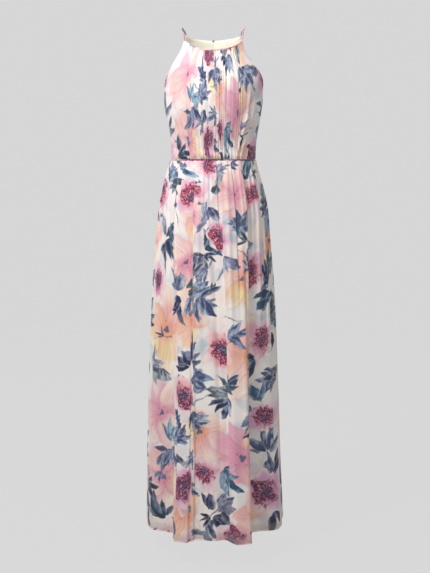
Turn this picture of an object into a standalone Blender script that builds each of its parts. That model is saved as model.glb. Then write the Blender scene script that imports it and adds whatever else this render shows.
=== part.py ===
"""A floor-length halter dress in printed chiffon, filled out as worn but with nobody in it.

Metres, +Z up. The front faces -Y. Left and right are as seen from the front, so left is -X.
The origin lies midway between the tops of the two shoulder straps, where a wearer holds the dress.
Heights above and depths below the waist seam are named "up" and "drop".
"""

import math
from typing import NamedTuple

import bmesh
import bpy
import numpy as np

# Driving dimensions
WAIST_Z = -0.388  # the waist seam, below the tops of the straps
HEM_DROP = 1.089  # from the waist seam to the hem at the side seams
WALL = 0.0015  # chiffon and its lining, as one wall
LINING_WALL = 0.001
SEAM_GAP = 0.0003  # between two pieces that are sewn together
SIDE_INSET = 0.0003  # a side seam's two panels each stop this far short of it
SIDE_Y = 0.0  # the plane of the side seams

PIPING_RADIUS = 0.0021  # the corded seam round the waist
BINDING_RADIUS = 0.0021  # the rolled binding along the front neckline
STRAP_RADIUS = 0.0023
LOOP_RADIUS = 0.0006
BUTTON_RADIUS = 0.0040
BUTTON_THICKNESS = 0.0034

FRONT_NECK_UP = 0.3125  # centre front, above the waist seam
FRONT_CORNER_UP = 0.345  # where a strap is sewn to the front
BACK_NECK_UP = 0.3525  # centre back
BACK_CORNER_UP = 0.362
UNDERARM_UP = 0.212
SLIT_LENGTH = 0.190  # the open slit down the centre back, below its button
SLIT_HALF_WIDTH = 0.0007
NOTCH_HALF_WIDTH = 0.0036  # the slit's corners are rounded off at its top
NOTCH_DEPTH = 0.009
LINING_FROM = 0.70  # the lining lies inside the back from this share of its height up

BACK_COLUMNS = 16
BACK_HEIGHTS = [0.0068, 0.10, 0.24, 0.38, 0.50, 0.5856, 0.70, 0.79, 0.89, 0.96, 1.0]  # shares
COLUMNS_PER_PLEAT = 4
FRONT_PLEATS = 18  # tucks held in the neckline and let out over the bust
PLEAT_DEPTH = 0.0024
PLEATED_SHARE = 0.72  # of the front's width, in the middle
FRONT_GATHERS = 20  # round the front half of the skirt's waist
BACK_GATHERS = 14
GATHER_DEPTH = 0.0026
GATHER_FADE = 0.11  # the drop over which the gathers smooth out
HEM_DIP = 0.10  # how much of a fold's depth its hem hangs lower by
HEM_SIDE_RISE = 0.024  # how much shorter the skirt is at its side seams than in front of them


class BodiceRow(NamedTuple):
    """A level cut through the body of the bodice, below the underarms."""

    up: float
    left: float
    right: float
    front: float
    back: float


BODICE = [
    BodiceRow(0.000, 0.1235, 0.1235, 0.098, 0.088),
    BodiceRow(0.030, 0.1240, 0.1250, 0.104, 0.090),
    BodiceRow(0.059, 0.1250, 0.1275, 0.110, 0.093),
    BodiceRow(0.088, 0.1290, 0.1320, 0.117, 0.097),
    BodiceRow(0.117, 0.1350, 0.1370, 0.123, 0.100),
    BodiceRow(0.146, 0.1420, 0.1420, 0.127, 0.103),
    BodiceRow(0.175, 0.1445, 0.1450, 0.129, 0.105),
    BodiceRow(0.205, 0.1445, 0.1450, 0.126, 0.105),
    BodiceRow(0.235, 0.1445, 0.1450, 0.118, 0.102),
    BodiceRow(0.265, 0.1445, 0.1450, 0.106, 0.097),
    BodiceRow(0.295, 0.1445, 0.1450, 0.092, 0.090),
    BodiceRow(0.3125, 0.1445, 0.1450, 0.085, 0.086),
    BodiceRow(0.3525, 0.1445, 0.1450, 0.080, 0.075),
]


class EdgeRow(NamedTuple):
    """A point of an armhole's edge. The panel wraps round by turn degrees from its middle to this edge."""

    up: float
    left: float
    right: float
    y: float
    turn: float


FRONT_ARMHOLE = [
    EdgeRow(0.212, 0.1445, 0.1450, 0.000, 90),
    EdgeRow(0.219, 0.1420, 0.1450, -0.012, 84),
    EdgeRow(0.234, 0.1380, 0.1430, -0.025, 76),
    EdgeRow(0.248, 0.1320, 0.1370, -0.033, 70),
    EdgeRow(0.263, 0.1250, 0.1280, -0.039, 66),
    EdgeRow(0.277, 0.1170, 0.1190, -0.041, 63),
    EdgeRow(0.292, 0.1080, 0.1090, -0.041, 62),
    EdgeRow(0.306, 0.0990, 0.0990, -0.038, 61),
    EdgeRow(0.320, 0.0920, 0.0910, -0.034, 60),
    EdgeRow(0.345, 0.0840, 0.0835, -0.028, 60),
]

BACK_ARMHOLE = [
    EdgeRow(0.212, 0.1445, 0.1450, 0.000, 90),
    EdgeRow(0.222, 0.1400, 0.1410, 0.016, 84),
    EdgeRow(0.242, 0.1320, 0.1330, 0.034, 76),
    EdgeRow(0.270, 0.1200, 0.1210, 0.050, 70),
    EdgeRow(0.300, 0.1050, 0.1060, 0.056, 66),
    EdgeRow(0.330, 0.0910, 0.0915, 0.048, 63),
    EdgeRow(0.362, 0.0800, 0.0800, 0.034, 62),
]


class SkirtRow(NamedTuple):
    """A level cut through the skirt, before its folds."""

    drop: float
    left: float
    right: float
    front: float
    back: float


SKIRT = [
    SkirtRow(0.000, 0.1235, 0.1235, 0.098, 0.088),
    SkirtRow(0.029, 0.1320, 0.1305, 0.108, 0.101),
    SkirtRow(0.059, 0.1400, 0.1400, 0.116, 0.112),
    SkirtRow(0.088, 0.1460, 0.1470, 0.121, 0.120),
    SkirtRow(0.147, 0.1580, 0.1600, 0.128, 0.132),
    SkirtRow(0.236, 0.1670, 0.1680, 0.135, 0.141),
    SkirtRow(0.416, 0.1815, 0.1835, 0.147, 0.152),
    SkirtRow(0.658, 0.1940, 0.1940, 0.161, 0.165),
    SkirtRow(0.903, 0.2000, 0.2025, 0.173, 0.177),
    SkirtRow(1.089, 0.2030, 0.2110, 0.180, 0.186),
]


class Fold(NamedTuple):
    """A fold that hangs down the skirt. Angles are degrees round the hem from the panel's middle.

    It stands out by depth at the hem between the two angles, and turns over rise degrees at its
    first side and fall degrees at its second. Above start it has gone into the gathers.
    """

    begin: float
    end: float
    rise: float
    fall: float
    depth: float
    start: float


FRONT_FOLDS = [
    Fold(-31.0, 27.0, 6, 6, 0.014, 0.05),
    Fold(-31.0, -16.0, 6, 6, 0.026, 0.05),
    Fold(12.5, 27.0, 7, 5, 0.040, 0.03),
    Fold(-4.0, 4.0, 8, 6, 0.005, 0.15),
    Fold(-52.0, -34.0, 14, 4, -0.012, 0.10),
    Fold(30.0, 50.0, 4, 16, -0.018, 0.08),
    Fold(-72.0, -60.0, 9, 9, 0.008, 0.20),
    Fold(58.0, 72.0, 9, 9, 0.008, 0.20),
]

BACK_FOLDS = [
    Fold(-78.0, -66.0, 8, 8, 0.010, 0.15),
    Fold(-52.0, -32.0, 9, 7, 0.030, 0.05),
    Fold(-15.0, 3.0, 7, 8, 0.026, 0.08),
    Fold(20.0, 34.0, 8, 7, 0.034, 0.05),
    Fold(52.0, 66.0, 9, 9, 0.022, 0.10),
]


def column(rows, name):
    """One named column of a table, as an array."""
    return np.array([getattr(row, name) for row in rows], float)


def read(rows, key, name, at):
    """A table's column at any point between its rows, on a smooth curve that never overshoots them."""
    x, y = column(rows, key), column(rows, name)
    step = np.diff(x)
    slope = np.diff(y) / step
    inner = np.where(
        slope[:-1] * slope[1:] > 0, 2 * slope[:-1] * slope[1:] / (slope[:-1] + slope[1:] + 1e-12), 0
    )
    tangent = np.concatenate([[slope[0]], inner, [slope[-1]]])
    at = np.clip(np.asarray(at, float), x[0], x[-1])
    i = np.clip(np.searchsorted(x, at, side="right") - 1, 0, len(step) - 1)
    t = (at - x[i]) / step[i]
    return (
        y[i] * (1 + 2 * t) * (1 - t) ** 2
        + y[i + 1] * t * t * (3 - 2 * t)
        + step[i] * (tangent[i] * t * (1 - t) ** 2 - tangent[i + 1] * t * t * (1 - t))
    )


def ease(t):
    """0 below 0, 1 above 1, and a smooth turn between them."""
    t = np.clip(t, 0, 1)
    return t * t * (3 - 2 * t)


def uneven(share):
    """A share of a panel's width, nudged to and fro so that hand-made gathers aren't all alike."""
    return share + 0.006 * np.sin(19.3 * share + 1.0) + 0.003 * np.sin(47.1 * share + 2.0)


def fold_depth(folds, angle, drop):
    """How far the folds stand out of the plain skirt, at an angle round the hem and a drop."""
    total = np.zeros(np.broadcast(angle, drop).shape)
    for fold in folds:
        up_side = ease((angle - fold.begin) / fold.rise + 0.5)
        down_side = ease((angle - fold.end) / fold.fall + 0.5)
        grown = ease(0.5 * (drop - fold.start) / (HEM_DROP - fold.start)) * 2
        total = total + fold.depth * up_side * (1 - down_side) * grown
    return total


def ring(left, right, depth, degrees):
    """A point of a half ellipse and its outward direction, in plan. 0 degrees is the panel's middle."""
    turn = np.radians(degrees)
    half = np.where(turn < 0, left, right)
    x, y = half * np.sin(turn), depth * np.cos(turn)
    nx, ny = depth * np.sin(turn), half * np.cos(turn)
    length = np.hypot(nx, ny)
    return x, y, nx / length, ny / length


def cloth_to_angle(folds, depth_name, share):
    """The angle round the hem at each share of the panel's flat width, by the hem's own length."""
    hem = SKIRT[-1]
    angle = np.linspace(-90, 90, 1801)
    x, y, nx, ny = ring(hem.left, hem.right, getattr(hem, depth_name), angle)
    out = fold_depth(folds, angle, HEM_DROP)
    length = np.hypot(np.diff(x + nx * out), np.diff(y + ny * out))
    along = np.concatenate([[0], np.cumsum(length)])
    return np.interp(share, along / along[-1], angle)


def skirt_panel(folds, depth_name, gathers, columns, drops):
    """The outer face of half the skirt: rows of points from the waist to the hem, left to right.

    The columns are evenly spaced threads of the flat cloth. At the waist they are spaced evenly
    round the ring, and lower down the folds take up their share of them.
    """
    share = np.linspace(0, 1, columns + 1)[None, :]
    drop = np.array(drops)[:, None]
    hem_angle = cloth_to_angle(folds, depth_name, share)
    settled = ease(drop / (0.75 * HEM_DROP)) ** 0.7
    angle = (1 - settled) * (180 * share - 90) + settled * hem_angle
    left, right = read(SKIRT, "drop", "left", drop), read(SKIRT, "drop", "right", drop)
    x, y, nx, ny = ring(left, right, read(SKIRT, "drop", depth_name, drop), angle)
    out = fold_depth(folds, hem_angle, drop)
    pucker = np.exp(-drop / GATHER_FADE) * ease(share * 14) * ease((1 - share) * 14)
    out = out + GATHER_DEPTH * pucker * np.cos(2 * math.pi * gathers * uneven(share))
    raised = HEM_SIDE_RISE * ease((np.abs(2 * share - 1) - 0.72) / 0.28)
    lower = (HEM_DIP * out - raised) * ease(drop / HEM_DROP)
    return np.stack([x + nx * out, y + ny * out, WAIST_Z - drop - lower + 0 * x], axis=-1)


def front_panel_points(spread, heights):
    """The outer face of the front bodice: rows from the waist to the neckline, left to right.

    spread runs from -1 at the left edge to 1 at the right. heights are shares of the way up.
    """
    spread, share = np.array(spread)[None, :], np.array(heights)[:, None]
    middle_up = share * FRONT_NECK_UP
    edge_up = share * FRONT_CORNER_UP
    up = middle_up + (edge_up - middle_up) * np.abs(spread) ** 2.2
    sides = [
        np.where(
            edge_up < UNDERARM_UP,
            read(BODICE, "up", side, edge_up),
            read(FRONT_ARMHOLE, "up", side, edge_up),
        )
        for side in ("left", "right")
    ]
    turn = np.radians(read(FRONT_ARMHOLE, "up", "turn", edge_up))
    edge_y = SIDE_Y - SIDE_INSET + read(FRONT_ARMHOLE, "up", "y", edge_up)
    front = -read(BODICE, "up", "front", middle_up)
    half = np.where(spread < 0, sides[0], sides[1])
    x = half * np.sin(turn * spread) / np.sin(turn)
    rise = (np.cos(turn * spread) - np.cos(turn)) / (1 - np.cos(turn))
    y = edge_y + (front - edge_y) * rise
    pleated = ease((PLEATED_SHARE - np.abs(spread)) * 6)
    strength = 1.0 - 0.55 * np.sin(math.pi * np.clip(share, 0, 1)) ** 2
    wave = np.cos(math.pi * FRONT_PLEATS * uneven(spread / PLEATED_SHARE))
    out = PLEAT_DEPTH * strength * pleated * wave
    return np.stack([x, y - out, WAIST_Z + up + 0 * x], axis=-1)


def slit_inset(up):
    """How far a back panel's inner edge lies from the centre line, at a height."""
    open_slit = ease((up - (BACK_NECK_UP - SLIT_LENGTH)) / 0.03)
    notch = ease((up - (BACK_NECK_UP - NOTCH_DEPTH)) / NOTCH_DEPTH) ** 2
    return SEAM_GAP / 2 + open_slit * SLIT_HALF_WIDTH + notch * NOTCH_HALF_WIDTH


def back_panel_points(side, spread, heights):
    """The outer face of one back panel. side is -1 for the left, 1 for the right.

    spread runs from 0 at the side seam or armhole to 1 at the centre back.
    """
    spread, share = np.array(spread)[None, :], np.array(heights)[:, None]
    middle_up, edge_up = share * BACK_NECK_UP, share * BACK_CORNER_UP
    up = middle_up + (edge_up - middle_up) * (1 - spread) ** 1.6
    name = "left" if side < 0 else "right"
    half = np.where(
        edge_up < UNDERARM_UP,
        read(BODICE, "up", name, edge_up),
        read(BACK_ARMHOLE, "up", name, edge_up),
    )
    turn = np.radians(read(BACK_ARMHOLE, "up", "turn", edge_up))
    edge_y = SIDE_Y + SIDE_INSET + read(BACK_ARMHOLE, "up", "y", edge_up)
    back = read(BODICE, "up", "back", middle_up)
    inset = slit_inset(up)
    swing = turn * (1 - spread)
    x = inset + (half - inset) * np.sin(swing) / np.sin(turn)
    rise = (np.cos(swing) - np.cos(turn)) / (1 - np.cos(turn))
    y = edge_y + (back - edge_y) * rise
    return np.stack([side * x, y, WAIST_Z + up], axis=-1)


def front_spread():
    """The columns of the front bodice: the same number to each pleat, and a few at the sides."""
    middle = np.linspace(-PLEATED_SHARE, PLEATED_SHARE, FRONT_PLEATS * COLUMNS_PER_PLEAT + 1)
    side = np.linspace(PLEATED_SHARE, 1, 7)[1:]
    return np.concatenate([-side[::-1], middle, side])


def back_spread():
    """The columns of a back panel, closer together towards both of its edges."""
    even = np.linspace(0, 1, BACK_COLUMNS + 1)
    return 0.7 * even + 0.3 * ease(even)


def material(name, colour, roughness, metallic=0.0):
    """A plain finish in the piece's colour."""
    made = bpy.data.materials.get(name) or bpy.data.materials.new(name)
    made.use_nodes = True
    shader = made.node_tree.nodes["Principled BSDF"]
    shader.inputs["Base Color"].default_value = (*colour, 1)
    shader.inputs["Roughness"].default_value = roughness
    shader.inputs["Metallic"].default_value = metallic
    return made


def add(name, data, finish, collection):
    """Puts a mesh or curve into the dress's collection, with its finish."""
    data.materials.append(finish)
    piece = bpy.data.objects.new(name, data)
    collection.objects.link(piece)
    return piece


def outward(points):
    """The unit normals of a grid of points that stands round the middle of the dress."""
    across, along = np.gradient(points, axis=1), np.gradient(points, axis=0)
    normal = np.cross(across, along)
    normal /= np.linalg.norm(normal, axis=2, keepdims=True)
    return normal if (normal[..., :2] * points[..., :2]).sum() > 0 else -normal


def cloth(name, points, thickness, finish, collection):
    """A wall of cloth: a grid of points on its outer face, thickened inwards."""
    rows, columns = points.shape[:2]
    index = np.arange(rows * columns).reshape(rows, columns)
    faces = np.stack([index[:-1, :-1], index[:-1, 1:], index[1:, 1:], index[1:, :-1]], axis=-1)
    across, along = points[0, 1] - points[0, 0], points[1, 0] - points[0, 0]
    if np.cross(across, along) @ outward(points)[0, 0] < 0:
        faces = faces[..., ::-1]
    mesh = bpy.data.meshes.new(name)
    mesh.from_pydata(points.reshape(-1, 3).tolist(), [], faces.reshape(-1, 4).tolist())
    mesh.shade_smooth()
    piece = add(name, mesh, finish, collection)
    wall = piece.modifiers.new("wall", "SOLIDIFY")
    wall.thickness = thickness
    wall.offset = -1
    return piece


def cord(name, points, radius, finish, collection, closed=False, sides=2):
    """A rolled cord of cloth along a line of points."""
    curve = bpy.data.curves.new(name, "CURVE")
    curve.dimensions = "3D"
    curve.bevel_depth = radius
    curve.bevel_resolution = sides
    curve.use_fill_caps = not closed
    spline = curve.splines.new("POLY")
    spline.points.add(len(points) - 1)
    for spot, (x, y, z) in zip(spline.points, points):
        spot.co = (x, y, z, 1)
    spline.use_cyclic_u = closed
    return add(name, curve, finish, collection)


def smooth_line(points, count):
    """Points along one smooth curve through a few chosen ones, evenly spaced by their own chords."""
    points = np.array(points, float)
    chord = np.concatenate([[0], np.cumsum(np.linalg.norm(np.diff(points, axis=0), axis=1))])
    at = np.linspace(0, chord[-1], count)
    tangent = np.gradient(points, chord, axis=0)
    i = np.clip(np.searchsorted(chord, at, side="right") - 1, 0, len(chord) - 2)
    step = (chord[i + 1] - chord[i])[:, None]
    t = ((at - chord[i])[:, None]) / step
    return (
        points[i] * (1 + 2 * t) * (1 - t) ** 2
        + points[i + 1] * t * t * (3 - 2 * t)
        + step * (tangent[i] * t * (1 - t) ** 2 - tangent[i + 1] * t * t * (1 - t))
    )


def build_skirt(finish, collection):
    """The skirt's front and back, which hang from just under the waist piping."""
    top = PIPING_RADIUS + SEAM_GAP
    drops = [top, 0.018, 0.040, 0.070, 0.110, 0.165, 0.245, 0.350, 0.480, 0.630, 0.790, 0.945, HEM_DROP]
    front = skirt_panel(FRONT_FOLDS, "front", FRONT_GATHERS, 84, drops)
    front[..., 1] = SIDE_Y - SIDE_INSET - front[..., 1]
    cloth("skirt_front", front, WALL, finish, collection)
    back = skirt_panel(BACK_FOLDS, "back", BACK_GATHERS, 64, drops)
    back[..., 1] = SIDE_Y + SIDE_INSET + back[..., 1]
    cloth("skirt_back", back, WALL, finish, collection)


def build_bodice(finish, collection):
    """The pleated front and the two back panels, which stand on the waist piping."""
    bottom = (PIPING_RADIUS + SEAM_GAP) / FRONT_NECK_UP
    underarm = UNDERARM_UP / FRONT_CORNER_UP
    heights = [bottom, 0.06, 0.14, 0.27, 0.40, 0.52, underarm, 0.70, 0.79, 0.90, 1.0]
    cloth("bodice_front", front_panel_points(front_spread(), heights), WALL, finish, collection)
    for side, name in ((-1, "back_left"), (1, "back_right")):
        points = back_panel_points(side, back_spread(), BACK_HEIGHTS)
        cloth(name, points, WALL, finish, collection)


def build_lining(finish, collection):
    """The plain lining inside the top of the back, which shows above the front neckline."""
    heights = [share for share in BACK_HEIGHTS if share >= LINING_FROM]
    for side, name in ((-1, "lining_left"), (1, "lining_right")):
        points = back_panel_points(side, back_spread(), heights)
        points = points - (WALL + SEAM_GAP) * outward(points)
        cloth(name, points, LINING_WALL, finish, collection)


def waist_ring(count):
    """Points round the waist seam."""
    angle = np.linspace(-90, 90, count // 2 + 1)
    waist = SKIRT[0]
    inward = WALL / 2
    x, y, nx, ny = ring(waist.left, waist.right, waist.front, angle)
    front = np.stack([x - nx * inward, -(y - ny * inward)], axis=-1)
    x, y, nx, ny = ring(waist.left, waist.right, waist.back, angle[::-1])
    back = np.stack([x - nx * inward, y - ny * inward], axis=-1)
    plan = np.concatenate([front[:-1], back[:-1]])
    return np.column_stack([plan, np.full(len(plan), WAIST_Z)])


def build_trim(finish, collection):
    """The waist piping, the neckline's binding and the two straps."""
    cord("waist_piping", waist_ring(72), PIPING_RADIUS, finish, collection, closed=True, sides=1)
    panel = front_panel_points(front_spread(), [0.97, 1.0])
    normal, edge = outward(panel)[1], panel[1]
    upward = np.cross(np.gradient(edge, axis=0), normal)
    upward /= np.linalg.norm(upward, axis=1, keepdims=True)
    upward *= np.sign(upward[:, 2:])
    line = edge + (BINDING_RADIUS + SEAM_GAP) * upward - WALL / 2 * normal
    clear = STRAP_RADIUS + BINDING_RADIUS + SEAM_GAP
    kept = (line[:, 0] > edge[0, 0] + clear) & (line[:, 0] < edge[-1, 0] - clear)
    cord("neck_binding", line[kept], BINDING_RADIUS, finish, collection)
    front_corner, back_corner = FRONT_ARMHOLE[-1], BACK_ARMHOLE[-1]
    for side, name in ((-1, "strap_left"), (1, "strap_right")):
        near = front_corner.left if side < 0 else front_corner.right
        lean = side * near
        top = WAIST_Z + FRONT_CORNER_UP + SEAM_GAP
        back_top = WAIST_Z + BACK_CORNER_UP + SEAM_GAP
        route = [
            (lean, front_corner.y + WALL / 2, top),
            (lean + side * 0.001, front_corner.y - 0.001, top + 0.012),
            (lean + side * 0.005, front_corner.y + 0.006, -STRAP_RADIUS - 0.008),
            (lean + side * 0.007, 0.000, -STRAP_RADIUS),
            (lean + side * 0.005, back_corner.y - 0.010, -STRAP_RADIUS - 0.004),
            (side * (back_corner.left + 0.003), back_corner.y - 0.001, back_top + 0.010),
            (side * back_corner.left, back_corner.y - WALL / 2, back_top),
        ]
        cord(name, smooth_line(route, 26), STRAP_RADIUS, finish, collection)


def build_closure(button_finish, loop_finish, collection):
    """The button that closes the back slit, on the right panel, and the loop on the left one."""
    ups = np.array([BACK_NECK_UP - 2 * BUTTON_RADIUS, BACK_NECK_UP])
    low, high = read(BODICE, "up", "back", ups)
    rise = np.array([0, high - low, ups[1] - ups[0]])
    rise = rise / np.linalg.norm(rise)
    outward = np.array([0, rise[2], -rise[1]])
    centre = np.array([0, high, WAIST_Z + BACK_NECK_UP]) - 0.001 * rise

    def on_back(across, out, up):
        """A point given from the button's centre: to the right, out of the cloth and up along it."""
        return centre + np.array([across, 0, 0]) + out * outward + up * rise

    lift = LOOP_RADIUS + 2 * SEAM_GAP
    reach = BUTTON_RADIUS * 0.45 + LOOP_RADIUS + SEAM_GAP
    turn = np.radians(np.linspace(112, -112, 13))
    route = [(reach * math.cos(a), reach * math.sin(a)) for a in turn]
    route = [(-0.0065, 0.0022), *route, (-0.0065, -0.0022)]
    line = [on_back(across, lift, up) for across, up in route]
    cord("button_loop", line, LOOP_RADIUS, loop_finish, collection, sides=1)

    mesh = bpy.data.meshes.new("neck_button")
    shape = bmesh.new()
    bmesh.ops.create_uvsphere(shape, u_segments=14, v_segments=8, radius=1)
    stalk = lift - LOOP_RADIUS
    head = lift + LOOP_RADIUS + SEAM_GAP
    for vertex in shape.verts:
        x, y, z = vertex.co
        radius, out = BUTTON_RADIUS, head + BUTTON_THICKNESS / 2 * (1 + z)
        if z < -0.8:
            radius, out = 0.45 * BUTTON_RADIUS / max(math.hypot(x, y), 0.4), stalk
        vertex.co = on_back(radius * x, out, radius * y)
    bmesh.ops.recalc_face_normals(shape, faces=shape.faces)
    shape.to_mesh(mesh)
    shape.free()
    mesh.shade_smooth()
    add("neck_button", mesh, button_finish, collection)


def main():
    """Clears the scene and builds the dress."""
    for old in list(bpy.data.objects):
        bpy.data.objects.remove(old)
    dress = bpy.data.collections.new("halter_dress")
    bpy.context.scene.collection.children.link(dress)
    chiffon = material("printed_chiffon", (0.80, 0.62, 0.60), 0.75)
    lining = material("cream_lining", (0.86, 0.80, 0.68), 0.6)
    button = material("covered_button", (0.08, 0.08, 0.11), 0.5)
    build_bodice(chiffon, dress)
    build_lining(lining, dress)
    build_skirt(chiffon, dress)
    build_trim(chiffon, dress)
    build_closure(button, lining, dress)


main()
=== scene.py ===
"""The looks of a floor-length halter dress in printed chiffon, filled out as worn with nobody in it.

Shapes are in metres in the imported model's frame: +Z up, the front faces -Y, left is -X, and the
origin lies midway between the tops of the straps. The print is drawn in millimetres on flat cloth.
"""

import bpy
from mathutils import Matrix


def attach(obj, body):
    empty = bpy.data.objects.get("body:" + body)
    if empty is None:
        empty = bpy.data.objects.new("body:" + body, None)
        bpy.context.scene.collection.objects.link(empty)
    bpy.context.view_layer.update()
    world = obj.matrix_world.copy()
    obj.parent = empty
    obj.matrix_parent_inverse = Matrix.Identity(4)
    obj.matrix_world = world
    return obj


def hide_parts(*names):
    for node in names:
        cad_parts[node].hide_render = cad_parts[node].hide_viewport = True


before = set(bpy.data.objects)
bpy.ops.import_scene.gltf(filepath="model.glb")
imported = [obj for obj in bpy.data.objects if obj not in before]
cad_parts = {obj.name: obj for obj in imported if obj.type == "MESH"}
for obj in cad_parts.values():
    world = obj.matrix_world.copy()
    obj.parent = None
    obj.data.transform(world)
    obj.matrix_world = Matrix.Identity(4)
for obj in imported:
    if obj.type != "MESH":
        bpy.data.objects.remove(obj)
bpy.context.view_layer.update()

import logging
import math
from collections.abc import Iterable, Sequence
from dataclasses import dataclass, field
from enum import Enum
from functools import partial
from typing import Any, NamedTuple

import bpy
import numpy as np
from numpy.typing import NDArray

Floats = NDArray[np.float64]
Indices = NDArray[np.int64]
Tree = bpy.types.NodeTree
Node = bpy.types.Node
Socket = bpy.types.NodeSocket
Mesh = bpy.types.Mesh
Object = bpy.types.Object
Material = bpy.types.Material

LOG = logging.getLogger("dress")
BODY = "root"

WAIST_Z = -0.388
HEM_DROP = 1.089  # from the waist to the hem
SIDE_INSET = 0.0001  # half the gap that two panels leave at a seam
SEAM_GAP = 0.0003
WALL = 0.0009  # chiffon and lining, made up together
LINING_WALL = 0.0006
PIPING_RADIUS = 0.0021
BINDING_RADIUS = 0.0021
STRAP_RADIUS = 0.0023
EDGE_RADIUS = 0.0013  # a rolled armhole or back neck
SEAM_EDGE = PIPING_RADIUS + SEAM_GAP / 2  # from the waist to where the panels begin
STITCH_LIFT = 0.0003
FRONT_NECK_UP = 0.3125  # these are distances above the waist
FRONT_CORNER_UP = 0.345
BACK_NECK_UP = 0.3525
BACK_CORNER_UP = 0.362
UNDERARM_UP = 0.212
ARMHOLE_Z = WAIST_Z + UNDERARM_UP - 0.002
SLIT_LENGTH = 0.190
SLIT_HALF_WIDTH = 0.0007
NOTCH_HALF_WIDTH = 0.0036
NOTCH_DEPTH = 0.009
INSIDE_OUT = (0, 3, 2, 1)  # the order of a quad's corners, to turn it round


class Side(Enum):
    """Which half of the dress a panel belongs to."""

    FRONT = "front"
    BACK = "back"


class Half(Enum):
    """Which half of a pair, with the sign of its x."""

    LEFT = -1
    RIGHT = 1


class LevelCut(NamedTuple):
    """A level cut through the dress: its half-widths, and its depths to the front and to the back."""

    at: float
    left: float
    right: float
    front: float
    back: float


class EdgePoint(NamedTuple):
    """A point of an armhole's edge, to which the panel wraps round by turn degrees."""

    at: float
    left: float
    right: float
    y: float
    turn: float


class Fold(NamedTuple):
    """A fold that hangs down the skirt, in degrees round the hem from the panel's middle."""

    begin: float
    end: float
    rise: float
    fall: float
    depth: float
    start: float


class Crease(NamedTuple):
    """A soft ridge, or a trough where its height is negative, that runs down a panel.

    Its ends are given as shares of the panel's width and distances in metres from the panel's top
    seam. Its width is a share of the panel's width too.
    """

    across: float
    top: float
    across_end: float
    bottom: float
    width: float
    height: float


class Pleat(NamedTuple):
    """A soft pleat down a panel, which stands out along one side and is sunk beside the other.

    Its ends and its reach are shares of the panel's width, and top and bottom are distances from
    the panel's top seam. raised is -1 where its left side stands out and 1 where its right side
    does. hidden is how much cloth it takes out of sight, in mm.
    """

    across: float
    top: float
    across_end: float
    bottom: float
    height: float
    reach: float
    raised: int
    hidden: float


class Thread(NamedTuple):
    """Where a lengthwise thread of the skirt starts at the waist, in degrees from the middle.

    It is named by the share of the hem at which it ends.
    """

    at: float
    angle: float


def rows(kind: type, *values: tuple[Any, ...]) -> tuple[Any, ...]:
    """Makes a table's rows, each from a tuple of its values."""
    return tuple(kind(*value) for value in values)


BODICE = rows(
    LevelCut,
    (0.000, 0.1235, 0.1235, 0.098, 0.088),
    (0.030, 0.1240, 0.1250, 0.104, 0.090),
    (0.059, 0.1250, 0.1275, 0.110, 0.093),
    (0.088, 0.1290, 0.1320, 0.117, 0.097),
    (0.117, 0.1350, 0.1370, 0.123, 0.100),
    (0.146, 0.1420, 0.1420, 0.127, 0.103),
    (0.175, 0.1445, 0.1450, 0.129, 0.105),
    (0.205, 0.1445, 0.1450, 0.126, 0.105),
    (0.235, 0.1445, 0.1450, 0.118, 0.102),
    (0.265, 0.1445, 0.1450, 0.106, 0.097),
    (0.295, 0.1445, 0.1450, 0.092, 0.090),
    (0.3125, 0.1445, 0.1450, 0.085, 0.086),
    (0.3525, 0.1445, 0.1450, 0.080, 0.075),
)

FRONT_ARMHOLE = rows(
    EdgePoint,
    (0.212, 0.1445, 0.1450, 0.000, 90),
    (0.219, 0.1420, 0.1450, -0.012, 84),
    (0.234, 0.1380, 0.1430, -0.025, 76),
    (0.248, 0.1320, 0.1370, -0.033, 70),
    (0.263, 0.1250, 0.1280, -0.039, 66),
    (0.277, 0.1170, 0.1190, -0.041, 63),
    (0.292, 0.1080, 0.1090, -0.041, 62),
    (0.306, 0.0990, 0.0990, -0.038, 61),
    (0.320, 0.0920, 0.0910, -0.034, 60),
    (0.345, 0.0840, 0.0835, -0.028, 60),
)

BACK_ARMHOLE = rows(
    EdgePoint,
    (0.212, 0.1445, 0.1450, 0.000, 90),
    (0.222, 0.1400, 0.1410, 0.016, 84),
    (0.242, 0.1320, 0.1330, 0.034, 76),
    (0.270, 0.1200, 0.1210, 0.050, 70),
    (0.300, 0.1050, 0.1060, 0.056, 66),
    (0.330, 0.0910, 0.0915, 0.048, 63),
    (0.362, 0.0800, 0.0800, 0.034, 62),
)

SKIRT = rows(
    LevelCut,
    (0.000, 0.1235, 0.1235, 0.098, 0.088),
    (0.029, 0.1320, 0.1305, 0.108, 0.101),
    (0.059, 0.1400, 0.1400, 0.116, 0.112),
    (0.088, 0.1460, 0.1470, 0.121, 0.120),
    (0.147, 0.1580, 0.1600, 0.128, 0.132),
    (0.236, 0.1670, 0.1680, 0.135, 0.141),
    (0.416, 0.1815, 0.1835, 0.147, 0.152),
    (0.658, 0.1940, 0.1940, 0.161, 0.165),
    (0.903, 0.2000, 0.2025, 0.173, 0.177),
    (1.089, 0.2030, 0.2110, 0.180, 0.186),
)

FRONT_FOLDS = rows(
    Fold,
    (-31.0, 27.0, 6, 6, 0.014, 0.05),
    (-31.0, -16.5, 5, 4, 0.028, 0.05),
    (12.5, 27.0, 7, 5, 0.040, 0.03),
    (-4.0, 4.0, 8, 6, 0.005, 0.15),
    (-52.0, -34.0, 14, 4, -0.012, 0.10),
    (30.0, 50.0, 4, 16, -0.018, 0.08),
    (-72.0, -60.0, 9, 9, 0.008, 0.20),
    (58.0, 72.0, 9, 9, 0.008, 0.20),
)

BACK_FOLDS = rows(
    Fold,
    (-78.0, -66.0, 8, 8, 0.010, 0.15),
    (-52.0, -32.0, 9, 7, 0.030, 0.05),
    (-15.0, 3.0, 7, 8, 0.026, 0.08),
    (20.0, 34.0, 8, 7, 0.034, 0.05),
    (52.0, 66.0, 9, 9, 0.022, 0.10),
)

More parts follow.
